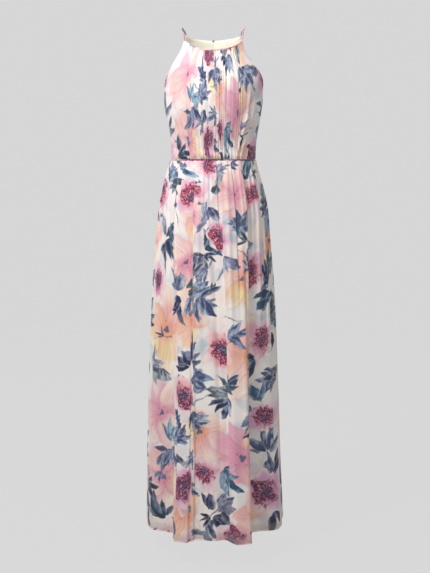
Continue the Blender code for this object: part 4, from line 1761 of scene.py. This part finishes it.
@dataclass
class SkirtPanel(Part):
    """Half of the gathered skirt: printed chiffon from the waist to its rolled hem, over lining."""

    side: Side
    folds: Sequence[Fold]
    threads: Sequence[Thread]
    pleats: Sequence[Pleat]
    creases: Sequence[Crease]
    gathers: int
    print_across: float  # where the panel's middle was cut from the print, in mm
    print_down: float  # where its waist was cut from
    columns: int = 300
    rows: int = 318
    waist_cut: float = 0.50  # the cloth's width, less what its pleats hide, at the waist
    hem_cut: float = 0.72
    full_cut: float = 0.80
    cut_share: float = 0.95  # how much of a rectangle of that width it fills
    gather_depth: float = 0.0016
    gather_fade: float = 0.10
    seam_slope: float = 30.0  # how steeply the gathers rise from the side seams
    seam_dip: float = 0.0008
    seam_reach: float = 0.006
    hem_dip: float = 0.10
    hem_side_rise: float = 0.024
    hem_roll: float = 0.0014
    sheer_band: float = 0.026
    sheer_shade: float = 0.30  # how far the chiffon is mixed there towards the painted shade of the skirt's dim inside
    lining_columns: int = 90
    lining_rows: int = 90
    lining_cut_share: float = 0.80
    lining_fold: float = 0.55  # how much of the outer folds the lining follows
    lining_inset: tuple[float, float] = (0.0036, 0.0140)  # behind the chiffon at the waist and below

    def build(self) -> list[Object]:
        """Makes the panel, its rolled hem, the hem's stitches and the lining under it.

        Returns:
            The pieces.
        """
        node = f"skirt_{self.side.value}"
        grid = self._grid()
        cloth = self.tailor.panel(node, grid, backed=False)
        edge = grid.moved(-0.5 * WALL)[-1]
        hem = self.tailor.cord(node + "_hem", edge, self.hem_roll, grid.flat[-1], sides=8)
        stitches = self.stitching.lay(node + "_hem_stitches", [grid.moved(STITCH_LIFT)[-3]])
        return [cloth, hem, stitches, self._underskirt(node)]

    def _underskirt(self, node: str) -> Object:
        """Makes the plain lining, which ends just above the band where the chiffon hangs alone.

        Args:
            node: The panel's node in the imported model.

        Returns:
            The lining.
        """
        length = HEM_DROP - self.sheer_band
        share = np.linspace(0, 1, self.lining_columns + 1)[None, :]
        drop = np.linspace(SEAM_EDGE, length, self.lining_rows + 1)[:, None]
        near, far = self.lining_inset
        inset = near + (far - near) * ease(drop / 0.12)
        points = self._form(share, drop, self.lining_fold, inset)
        lining = self.tailor.lining(node + "_lining", points)
        return lining

    def _form(self, share: Floats, drop: Floats, fold_share: float, inset: Any) -> Floats:
        """The skirt's large form, without its gathers, pleats and creases.

        Args:
            share: Shares of the panel's width at the hem.
            drop: Distances below the waist.
            fold_share: How much of the folds that stand out it follows.
            inset: How far inside the skirt's plain form it lies.

        Returns:
            Rows of points.
        """
        hem_angle = self._hem_angle(share)
        settled = ease(drop / (0.75 * HEM_DROP)) ** 0.7
        angle = (1 - settled) * read(self.threads, "angle", share) + settled * hem_angle
        left, right = read(SKIRT, "left", drop), read(SKIRT, "right", drop)
        x, y, nx, ny = half_ring(left, right, read(SKIRT, self.side.value, drop), angle)
        fold = self._fold_depth(hem_angle, drop)
        raised = self.hem_side_rise * ease((np.abs(2 * share - 1) - 0.72) / 0.28)
        lower = (self.hem_dip * fold - raised) * ease(drop / HEM_DROP)
        out = np.where(fold > 0, fold_share * fold, fold) - inset
        sign = -1 if self.side is Side.FRONT else 1
        plan_y = sign * (SIDE_INSET + np.maximum(y + ny * out, 0))
        return np.stack([x + nx * out, plan_y, WAIST_Z - drop - lower + 0 * x], axis=-1)

    def _grid(self) -> ClothGrid:
        """Lays out the panel's outer face.

        Returns:
            The face.
        """
        share = np.linspace(0, 1, self.columns + 1)[None, :]
        drop = np.linspace(SEAM_EDGE, HEM_DROP, self.rows + 1)[:, None]
        points = self._form(share, drop, 1.0, 0.0)
        pucker = np.exp(-drop / self.gather_fade)
        pleated, hidden = pleating(self.pleats, share, drop)
        phase = self.gathers * uneven(share)
        wave = np.cos(2 * math.pi * phase) + 0.28 * np.cos(4 * math.pi * phase + 0.6) + 1.1
        strength = self.gather_depth * (0.5 + Lattice(5).at(phase + 0.5, 0.7 + drop * 4))
        soft = strength * wave * pucker + relief(self.creases, share, drop)
        raised = (soft + pleated) * between(share, self.seam_slope)
        dip = self.seam_dip * (near(share, self.seam_reach) + near(1 - share, self.seam_reach))
        points = points + outward(points) * (raised - dip)[..., None]
        width = 1000 * (self.waist_cut + (self.hem_cut - self.waist_cut) * drop / HEM_DROP)
        across = self.print_across + (share - 0.5) * width + hidden - 0.5 * hidden[:, -1:]
        down = self.print_down + 1000 * drop + 0 * share
        gathered = np.clip(1.2 * pucker + 0 * share, 0, 1)
        # The band at the hem, where the chiffon hangs alone, gets painted shade for the dim inside seen
        # through it.
        sheer_shade = self.sheer_shade * ease((drop - (HEM_DROP - self.sheer_band)) / 0.012) + 0 * share
        return ClothGrid(points, np.stack([across, down], axis=-1), gathered, sheer_shade)

    def _fold_depth(self, angle: Floats, drop: Any) -> Floats:
        """How far the folds stand out of the plain skirt.

        Args:
            angle: Degrees round the hem from the panel's middle.
            drop: Distances below the waist.

        Returns:
            Depths in metres.
        """
        total = np.zeros(np.broadcast(angle, drop).shape)
        for fold in self.folds:
            up_side = ease((angle - fold.begin) / fold.rise + 0.5)
            down_side = ease((angle - fold.end) / fold.fall + 0.5)
            grown = ease(0.5 * (drop - fold.start) / (HEM_DROP - fold.start)) * 2
            total = total + fold.depth * up_side * (1 - down_side) * grown
        return total

    def _hem_angle(self, share: Floats) -> Floats:
        """Spreads the cloth evenly over the hem's own length, folds and all.

        Args:
            share: Shares of the panel's width.

        Returns:
            The angle round the hem at each, in degrees.
        """
        hem = SKIRT[-1]
        angle = np.linspace(-90, 90, 1801)
        x, y, nx, ny = half_ring(hem.left, hem.right, getattr(hem, self.side.value), angle)
        out = self._fold_depth(angle, HEM_DROP)
        step = np.hypot(np.diff(x + nx * out), np.diff(y + ny * out))
        along = np.concatenate([[0], np.cumsum(step)])
        return np.interp(share, along / along[-1], angle)


@dataclass
class FrontBodice(Part):
    """The front of the bodice: gathered into the neckline and the waist, and smooth at its left."""

    columns: int = 240
    rows: int = 196
    bust_half: float = 0.1447
    cut: tuple[float, float] = (0.66, 0.345)
    cut_share: float = 0.72
    neck_curve: float = 2.2  # higher keeps the neckline low for longer before its corners
    tucks: int = 19
    tucked_from: float = -0.54
    tucked_to: float = 0.64
    neck_depth: float = 0.0010
    waist_depth: float = 0.0016
    middle_depth: float = 0.0003
    hidden_mm: float = 15.0  # cloth that a tuck takes out of sight, more or less
    blouse: float = 0.0044
    seam_slope: float = 26.0
    seam_dip: float = 0.0007
    seam_reach: float = 0.008
    print_across: float = 300.0
    print_down: float = 1010.0
    binding_half: float = 0.0812  # half the binding's width from end to end
    binding_across: tuple[float, float] = (205.0, 565.0)  # the print along it, in mm
    binding_down: float = 868.0

    def build(self) -> list[Object]:
        """Makes the panel with its neckline binding, its rolled armhole edges and their stitches.

        Returns:
            The pieces.
        """
        grid = self._grid()
        cloth = self.tailor.panel("bodice_front", grid, backed=True)
        middle, raised = grid.moved(-0.5 * WALL), grid.moved(STITCH_LIFT)
        rows = grid.points[:, 0, 2] > ARMHOLE_Z
        trims, lines = [], []
        for side, edge, inner in (("left", 0, 3), ("right", -1, -4)):
            name = f"front_armhole_roll_{side}"
            trims.append(self.tailor.cord(name, middle[rows, edge], EDGE_RADIUS, grid.flat[rows, edge]))
            lines.append(raised[rows, inner])
        lines.append(raised[-3, 4:-4])
        stitches = self.stitching.lay("bodice_front_stitches", lines)
        trims += [self._binding(grid), stitches]
        return [cloth, *trims]

    def _binding(self, grid: ClothGrid) -> Object:
        """Makes the narrow rolled binding along the neckline.

        Args:
            grid: The panel's outer face.

        Returns:
            The binding.
        """
        edge, normal = grid.points[-1], outward(grid.points)[-1]
        upward = np.cross(np.gradient(edge, axis=0), normal)
        upward /= np.linalg.norm(upward, axis=1, keepdims=True)
        upward *= np.sign(upward[:, 2:])
        line = edge + 0.6 * BINDING_RADIUS * upward - 0.5 * WALL * normal
        kept = np.abs(edge[:, 0]) < self.binding_half
        across = np.linspace(*self.binding_across, len(edge))
        flat = np.column_stack([across, np.full(len(edge), self.binding_down)])
        return self.tailor.cord(
            "neck_binding_roll", line[kept], BINDING_RADIUS, flat[kept], node="neck_binding"
        )

    def _form(self, spread: Floats, middle_up: Floats, edge_up: Floats, up: Floats) -> Floats:
        """The panel's large form, without its tucks, pleats and creases.

        Args:
            spread: Places across it, from -1 at its left edge to 1 at its right.
            middle_up: How far above the waist each row is at its middle.
            edge_up: How far up it is at its edges.
            up: How far up each point is.

        Returns:
            Rows of points.
        """
        left, right = (half_width(side, FRONT_ARMHOLE, edge_up) for side in ("left", "right"))
        turn = np.radians(read(FRONT_ARMHOLE, "turn", edge_up))
        out, rise = wrap(turn, turn * spread)
        edge_y = read(FRONT_ARMHOLE, "y", edge_up) - SIDE_INSET
        front = -read(BODICE, "front", middle_up)
        x = np.where(spread < 0, left, right) * out
        return np.stack([x, edge_y + (front - edge_y) * rise, WAIST_Z + up + 0 * x], axis=-1)

    def _grid(self) -> ClothGrid:
        """Lays out the panel's outer face, from the waist up to the neckline.

        Returns:
            The face.
        """
        spread = np.linspace(-1, 1, self.columns + 1)[None, :]
        height = np.linspace(SEAM_EDGE / FRONT_NECK_UP, 1, self.rows + 1)[:, None]
        middle_up, edge_up = height * FRONT_NECK_UP, height * FRONT_CORNER_UP
        up = middle_up + (edge_up - middle_up) * np.abs(spread) ** self.neck_curve
        points = self._form(spread, middle_up, edge_up, up)
        narrowed = 0.855 + 0.145 * ease(up / 0.17) - 0.22 * ease((up - 0.215) / 0.12)
        thread = points[..., 0] / (self.bust_half * narrowed)
        phase, depth = self._tucking(thread, middle_up)
        wave = np.cos(2 * math.pi * phase) + 0.25 * np.cos(4 * math.pi * phase + 0.5)
        down = FRONT_CORNER_UP - edge_up
        pleated, folded = pleating(BODICE_PLEATS, 0.5 + 0.5 * thread, down)
        full = np.clip(depth / self.waist_depth, 0, 1)
        bulge = self.blouse * np.exp(-(((up - 0.014) / 0.012) ** 2)) * full
        soft = depth * wave + relief(BODICE_CREASES, 0.5 + 0.5 * thread, down) + bulge
        share = 0.5 + 0.5 * spread
        raised = (soft + pleated) * between(share, self.seam_slope)
        dip = self.seam_dip * (near(share, self.seam_reach) + near(1 - share, self.seam_reach))
        points = points + outward(points) * (raised - dip * (edge_up < UNDERARM_UP))[..., None]
        hidden, most = self._tucked_away(phase)
        arc = 950 * self.bust_half * np.arcsin(np.clip(thread / 1.02, -1, 1))
        across = self.print_across + arc + folded + hidden - 0.5 * most
        flat = np.stack([across, self.print_down - 1000 * up + 0 * across], axis=-1)
        gathered = np.clip(depth / self.waist_depth * 1.1, 0, 1)
        return ClothGrid(points, flat, gathered, np.zeros(across.shape))

    def _tucking(self, thread: Floats, up: Floats) -> tuple[Floats, Floats]:
        """Places the tucks, which the neckline and the waist seam hold.

        Args:
            thread: Which lengthwise thread each point lies on, from -1 to 1.
            up: How far above the waist it is.

        Returns:
            The tucks' phase at each thread, and their depth at each point.
        """
        inside = (thread - self.tucked_from) / (self.tucked_to - self.tucked_from)
        phase = self.tucks * uneven(inside, 1.5)
        own = Lattice(8).at(phase + 8.5, 3.3 + up * 6)
        middle = between(inside, 9)
        ends = 0.25 + 0.75 * middle
        from_neck = np.exp(-(FRONT_NECK_UP - up) / (0.05 + 0.09 * own))
        from_waist = np.exp(-up / (0.035 + 0.07 * own))
        depth = self.neck_depth * from_neck * middle + self.waist_depth * from_waist * ends
        depth = depth + self.middle_depth * middle * (0.4 + 0.9 * own)
        return phase, depth * (0.55 + 0.8 * own)

    def _tucked_away(self, phase: Floats) -> tuple[Floats, float]:
        """How much cloth the tucks take out of sight, most of it at the middle of each.

        Args:
            phase: The tucks' phase at each point.

        Returns:
            The mm hidden to the left of each point, and the mm that all the tucks hide.
        """
        counted = np.clip(phase, 0, self.tucks - 1e-6)
        tuck = np.floor(counted).astype(int)
        amounts = self.hidden_mm * (0.3 + 1.4 * np.random.default_rng(4).random(self.tucks))
        before = np.concatenate([[0], np.cumsum(amounts)])
        taken = 0.35 * (counted - tuck) + 0.65 * ease((counted - tuck - 0.5) / 0.09 + 0.5)
        return before[tuck] + amounts[tuck] * taken, before[-1]


@dataclass
class BackBodice(Part):
    """One half of the back, with its slit edge, and the lining inside its top."""

    half: Half
    print_across: float
    print_down: float
    columns: int = 100
    rows: int = 160
    cut: tuple[float, float] = (0.205, 0.362)
    cut_share: float = 0.78
    neck_curve: float = 1.6
    gathers: int = 9
    gather_depth: float = 0.0016
    gather_fade: float = 0.035
    seam_slope: float = 14.0
    seam_dip: float = 0.0006
    seam_reach: float = 0.012
    lining_from: float = 0.70
    lining_cut: tuple[float, float] = (0.145, 0.112)
    lining_area: float = 0.0125

    def build(self) -> list[Object]:
        """Makes the panel, its rolled edges, their stitches and its lining.

        Returns:
            The pieces.
        """
        side = self.half.name.lower()
        grid = self._grid(side)
        cloth = self.tailor.panel(f"back_{side}", grid, backed=True)
        middle, raised = grid.moved(-0.5 * WALL), grid.moved(STITCH_LIFT)
        rows = grid.points[:, 0, 2] > ARMHOLE_Z
        name = f"back_armhole_roll_{side}"
        arm = self.tailor.cord(name, middle[rows, 0], EDGE_RADIUS, grid.flat[rows, 0])
        neck = self.tailor.cord(f"back_neck_roll_{side}", middle[-1], EDGE_RADIUS)
        slit_rows = grid.points[:, -1, 2] > WAIST_Z + BACK_NECK_UP - SLIT_LENGTH
        lines = [raised[rows, 3], raised[-3, 3:-3], raised[slit_rows, -4]]
        stitches = self.stitching.lay(f"back_{side}_stitches", lines)
        return [cloth, arm, neck, stitches, self._lining(side, grid)]

    def _lining(self, side: str, grid: ClothGrid) -> Object:
        """Makes the plain lining that lies inside the top of the back.

        Args:
            side: Which half it is for.
            grid: The panel's outer face.

        Returns:
            The lining.
        """
        first = int(self.lining_from * self.rows)
        inner = grid.moved(-(WALL + LINING_WALL))[first::2, ::2]
        lining = self.tailor.lining(f"lining_{side}_cloth", inner, f"lining_{side}")
        return lining

    def _grid(self, side: str) -> ClothGrid:
        """Lays out the panel's outer face, from the side seam or armhole to the centre back.

        Args:
            side: Which half it is.

        Returns:
            The face.
        """
        spread = np.linspace(0, 1, self.columns + 1)[None, :]
        height = np.linspace(SEAM_EDGE / BACK_NECK_UP, 1, self.rows + 1)[:, None]
        middle_up, edge_up = height * BACK_NECK_UP, height * BACK_CORNER_UP
        up = middle_up + (edge_up - middle_up) * (1 - spread) ** self.neck_curve
        half = half_width(side, BACK_ARMHOLE, edge_up)
        opened = ease((up - (BACK_NECK_UP - SLIT_LENGTH)) / 0.03)
        notch = ease((up - (BACK_NECK_UP - NOTCH_DEPTH)) / NOTCH_DEPTH) ** 2
        inset = SIDE_INSET + opened * SLIT_HALF_WIDTH + notch * NOTCH_HALF_WIDTH
        turn = np.radians(read(BACK_ARMHOLE, "turn", edge_up))
        out, rise = wrap(turn, turn * (1 - spread))
        edge_y = SIDE_INSET + read(BACK_ARMHOLE, "y", edge_up)
        y = edge_y + (read(BODICE, "back", middle_up) - edge_y) * rise
        x = self.half.value * (inset + (half - inset) * out)
        points = np.stack([x, y, WAIST_Z + up], axis=-1)
        seam = between(spread, self.seam_slope)
        wave = np.cos(2 * math.pi * self.gathers * uneven(spread))
        waist = self.gather_depth * np.exp(-up / self.gather_fade) * wave
        raised = (waist + relief(BACK_BODICE_CREASES, spread, BACK_CORNER_UP - edge_up)) * seam
        dip = near(1 - spread, self.seam_reach) * (1 - opened)
        dip = self.seam_dip * (dip + near(spread, self.seam_reach) * (edge_up < UNDERARM_UP))
        points = points + outward(points) * (raised - dip)[..., None]
        across = self.print_across + self.half.value * 1000 * self.cut[0] * (1 - spread) + 0 * up
        flat = np.stack([across, self.print_down - 1000 * up], axis=-1)
        gathered = 0.7 * np.exp(-up / 0.05) * seam
        return ClothGrid(points, flat, gathered, np.zeros(x.shape))


@dataclass
class WaistPiping(Part):
    """The corded seam between the bodice and the skirt."""

    count: int = 240
    inset: float = 0.0010  # how far its middle lies inside the waistline
    cut_length: float = 740.0  # its bias strip, in mm of the print
    cut_down: float = 1172.0  # where that was cut from: the print's darkest row of leaves, real print chosen as painted shade so the piping reads as the seam's dark shade line

    def build(self) -> list[Object]:
        """Makes the piping.

        Returns:
            The piece.
        """
        waist = SKIRT[0]
        angle = np.linspace(-90, 90, self.count // 2 + 1)
        plan = []
        for sign, depth, turn in ((-1, waist.front, angle), (1, waist.back, angle[::-1])):
            x, y, nx, ny = half_ring(waist.left, waist.right, depth, turn)
            plan.append(np.stack([x - nx * self.inset, sign * (y - ny * self.inset)], axis=-1)[:-1])
        line = np.column_stack([np.concatenate(plan), np.full(self.count, WAIST_Z)])
        along = np.linspace(0, self.cut_length, self.count, endpoint=False)
        flat = np.column_stack([along, np.full(self.count, self.cut_down)])
        name = "waist_piping_cord"
        return [self.tailor.cord(name, line, PIPING_RADIUS, flat, node="waist_piping", closed=True)]


@dataclass
class Straps(Part):
    """The two rouleau straps, from the front corners over the shoulders to the back corners."""

    count: int = 90
    length_mm: float = 130.0
    crinkle: float = 0.07  # how much their thickness varies
    cut_across: float = 62.0  # where their bias strips were cut from the print
    cut_down: float = 725.0

    def build(self) -> list[Object]:
        """Makes both straps."""
        return [self._strap(half) for half in Half]

    def _strap(self, half: Half) -> Object:
        """Makes one strap.

        Args:
            half: Which one.

        Returns:
            The strap.
        """
        sign, side = half.value, half.name.lower()
        front, back = FRONT_ARMHOLE[-1], BACK_ARMHOLE[-1]
        near_x, far_x = sign * getattr(front, side), sign * back.left
        front_top = WAIST_Z + FRONT_CORNER_UP + SEAM_GAP
        back_top = WAIST_Z + BACK_CORNER_UP + SEAM_GAP
        route = [
            (near_x, front.y + WALL / 2, front_top - 0.004),
            (near_x, front.y + WALL / 2, front_top),
            (near_x + sign * 0.001, front.y - 0.001, front_top + 0.012),
            (near_x + sign * 0.005, front.y + 0.006, -STRAP_RADIUS - 0.008),
            (near_x + sign * 0.007, 0.000, -STRAP_RADIUS),
            (near_x + sign * 0.005, back.y - 0.010, -STRAP_RADIUS - 0.004),
            (far_x + sign * 0.003, back.y - 0.001, back_top + 0.010),
            (far_x, back.y - WALL / 2, back_top),
            (far_x, back.y - WALL / 2, back_top - 0.004),
        ]
        line = smooth_line(route, self.count)
        along = np.linspace(0, self.length_mm, self.count)
        crinkled = 1 + self.crinkle * (Lattice(21 + sign).at(along / 4.0, 0 * along) - 0.5)
        flat = np.column_stack([self.cut_across + 8 * sign + 0.4 * along, self.cut_down + along])
        name, node = f"strap_{side}_rouleau", f"strap_{side}"
        return self.tailor.cord(name, line, STRAP_RADIUS * crinkled, flat, node=node, sides=12)


@dataclass
class Closure(Part):
    """The covered button and its loop at the top of the back slit."""

    radius: float = 0.0040
    profile: tuple[tuple[float, float], ...] = (  # shares of the radius, and metres above its base
        (0.0, 0.0),
        (0.42, 0.0),
        (0.45, 0.0016),
        (0.86, 0.0018),
        (0.97, 0.0023),
        (1.0, 0.0030),
        (0.96, 0.0037),
        (0.80, 0.0045),
        (0.52, 0.0050),
        (0.25, 0.00515),
        (0.0, 0.0052),
    )
    sides: int = 32
    lift: float = 2 * SEAM_GAP  # how far the button and the loop stay off the cloth
    loop_radius: float = 0.0006
    loop_end: tuple[float, float] = (-0.0065, 0.0022)  # where it is sewn on, across and up
    rise: Floats = field(init=False)
    out: Floats = field(init=False)
    centre: Floats = field(init=False)

    def __post_init__(self) -> None:
        """Finds the slope of the back below the neck, and the button's place on it."""
        low, high = read(BODICE, "back", [BACK_NECK_UP - 2 * self.radius, BACK_NECK_UP])
        rise = np.array([0, high - low, 2 * self.radius])
        self.rise = rise / np.linalg.norm(rise)
        self.out = np.array([0, self.rise[2], -self.rise[1]])
        self.centre = np.array([0, high, WAIST_Z + BACK_NECK_UP]) - 0.001 * self.rise

    def build(self) -> list[Object]:
        """Makes the button and the loop."""
        return [self._button(), self._loop()]

    def _on_back(self, across: Floats, out: Floats, up: Floats) -> Floats:
        """Points given from the button's centre: to the right, out of the cloth and up along it."""
        parts = zip((across, out, up), (np.array([1.0, 0, 0]), self.out, self.rise))
        return self.centre + sum(np.asarray(size)[..., None] * axis for size, axis in parts)

    def _button(self) -> Object:
        """Makes a domed shell with a tucked-in rim, a flat back and a shank.

        Returns:
            The button.
        """
        profile = np.array(self.profile) * (self.radius, 1) + (0, self.lift)
        turn = np.linspace(0, 2 * math.pi, self.sides, endpoint=False)
        r, out = profile[1:-1, 0][:, None], profile[1:-1, 1][:, None]
        rings = self._on_back(r * np.cos(turn), out + 0 * turn, r * np.sin(turn)).reshape(-1, 3)
        poles = self._on_back(np.zeros(2), profile[[0, -1], 1], np.zeros(2))
        index = np.arange(len(rings)).reshape(-1, self.sides)
        faces = ring_faces(index, INSIDE_OUT)
        base, tip = len(rings), len(rings) + 1
        for i in range(self.sides):
            j = (i + 1) % self.sides
            faces += [[base, index[0][i], index[0][j]], [tip, index[-1][j], index[-1][i]]]
        mesh = new_mesh("neck_button_shell", np.concatenate([rings, poles]), faces)
        mesh.materials.append(self.tailor.finishes.button)
        return add_piece(mesh, "neck_button")

    def _loop(self) -> Object:
        """Makes the thin loop that holds the button's shank.

        Returns:
            The loop.
        """
        shank = self.radius * self.profile[2][0]
        reach = shank + self.loop_radius + SEAM_GAP
        turn = np.radians(np.linspace(112, -112, 28))
        end, above = self.loop_end
        across = np.concatenate([[end], reach * np.cos(turn), [end]])
        up = np.concatenate([[above], reach * np.sin(turn), [-above]])
        line = self._on_back(across, np.full(len(across), self.loop_radius + self.lift), up)
        return self.tailor.cord(
            "button_loop_cord", line, self.loop_radius, slot="cream_lining", node="button_loop", sides=8
        )


class Lamp(NamedTuple):
    """A round soft light."""

    name: str
    place: tuple[float, float, float]
    aim: tuple[float, float, float]
    size: float
    power: float
    spread: float | None = None  # degrees, for a beam


@dataclass
class Studio:
    """A round cove of pale paper, soft lights, and the camera at waist height in front."""

    paper: StudioPaper = StudioPaper()
    floor_z: float = -1.55
    floor_rings: tuple[float, ...] = (1.5, 4.0)
    cove_radius: float = 9.0
    cove_bend: float = 3.0
    cove_height: float = 4.6
    cove_sides: int = 96
    distance: float = 3.70
    aside: float = 0.0047
    look_down: float = 5.79  # degrees
    sensor: float = 36.0  # mm, the picture's long side
    lens: float = 78.35
    daylight: float = 0.36
    lamps: tuple[Lamp, ...] = (
        Lamp("key", (-1.05, -1.45, 1.15), (0, 0, -0.25), 0.8, 50.0),
        Lamp("fill", (2.0, -2.2, 0.9), (0, 0, -0.3), 1.2, 9.0),
        Lamp("rear", (-1.8, 2.4, 1.2), (0, 0, -0.6), 1.6, 30.0),
        Lamp("neck", (0.9, -1.6, 1.3), (0, 0.05, -0.06), 0.05, 0.045, spread=9),
    )

    def build(self) -> None:
        """Sets up the paper, the lights and the camera."""
        self._sweep()
        self._lights()
        camera_data = bpy.data.cameras.new("front_camera")
        camera_data.sensor_width = self.sensor
        camera_data.lens = self.lens
        camera = bpy.data.objects.new("front_camera", camera_data)
        camera.location = (self.aside, -self.distance, WAIST_Z)
        camera.rotation_euler = (math.radians(90 - self.look_down), 0, 0)
        bpy.context.scene.collection.objects.link(camera)
        bpy.context.scene.camera = camera

    def _sweep(self) -> None:
        """Lays the paper: a floor that curves up into a wall all round, and tints nothing."""
        arc = np.linspace(0, math.pi / 2, 13)
        out = self.cove_radius - self.cove_bend * (1 - np.sin(arc))
        out = np.concatenate([self.floor_rings, out, [self.cove_radius]])
        up = np.concatenate([[0.0, 0.0], self.cove_bend * (1 - np.cos(arc)), [self.cove_height]])
        turn = np.linspace(0, 2 * math.pi, self.cove_sides, endpoint=False)
        x, y = (out[:, None] * wave(turn) for wave in (np.cos, np.sin))
        points = np.stack([x, y, self.floor_z + up[:, None] + 0 * x], axis=-1)
        index = np.arange(x.size).reshape(x.shape)
        faces = [index[0].tolist()] + ring_faces(index, INSIDE_OUT)
        mesh = new_mesh("paper_cove", points, faces)
        mesh.materials.append(self.paper.build())
        cove = add_object(mesh)
        cove.visible_diffuse = cove.visible_shadow = False

    def _lights(self) -> None:
        """Sets a dim world, a key from the upper left, two fills, and a beam into the neckline."""
        scene = bpy.context.scene
        scene.view_settings.view_transform = "Standard"
        world = bpy.data.worlds.new("studio")
        world.use_nodes = True
        background = world.node_tree.nodes["Background"]
        background.inputs["Color"].default_value = (1.0, 1.0, 1.0, 1.0)
        background.inputs["Strength"].default_value = self.daylight
        scene.world = world
        for lamp in self.lamps:
            data = bpy.data.lights.new(lamp.name, "AREA")
            data.shape = "DISK"
            data.size = lamp.size
            data.energy = lamp.power
            if lamp.spread is not None:
                data.spread = math.radians(lamp.spread)
            light = bpy.data.objects.new(lamp.name, data)
            light.location = lamp.place
            x, y, z = np.array(lamp.aim) - np.array(lamp.place)
            pitch, heading = math.atan2(z, math.hypot(x, y)), math.atan2(y, x)
            light.rotation_euler = (math.pi / 2 + pitch, 0, heading - math.pi / 2)
            scene.collection.objects.link(light)


def main() -> None:
    """Builds the dress, piece by piece, and the studio round it."""
    logging.basicConfig(level=logging.INFO, format="%(name)s: %(message)s")
    finishes = Finishes()
    makers = (Tailor(finishes), Stitching(finishes.thread))
    parts = (
        WaistPiping(*makers),
        Straps(*makers),
        FrontBodice(*makers),
        BackBodice(*makers, Half.LEFT, print_across=350.0, print_down=520.0),
        BackBodice(*makers, Half.RIGHT, print_across=390.0, print_down=520.0),
        SkirtPanel(*makers, Side.FRONT, *FRONT_SKIRT, gathers=20, print_across=375.0, print_down=30.0),
        SkirtPanel(*makers, Side.BACK, *BACK_SKIRT, gathers=18, print_across=60.0, print_down=480.0),
        Closure(*makers),
    )
    for part in parts:
        for piece in part.build():
            LOG.info("%s: %d points", piece.name, len(piece.data.vertices))
    Studio().build()


if __name__ == "__main__":
    main()
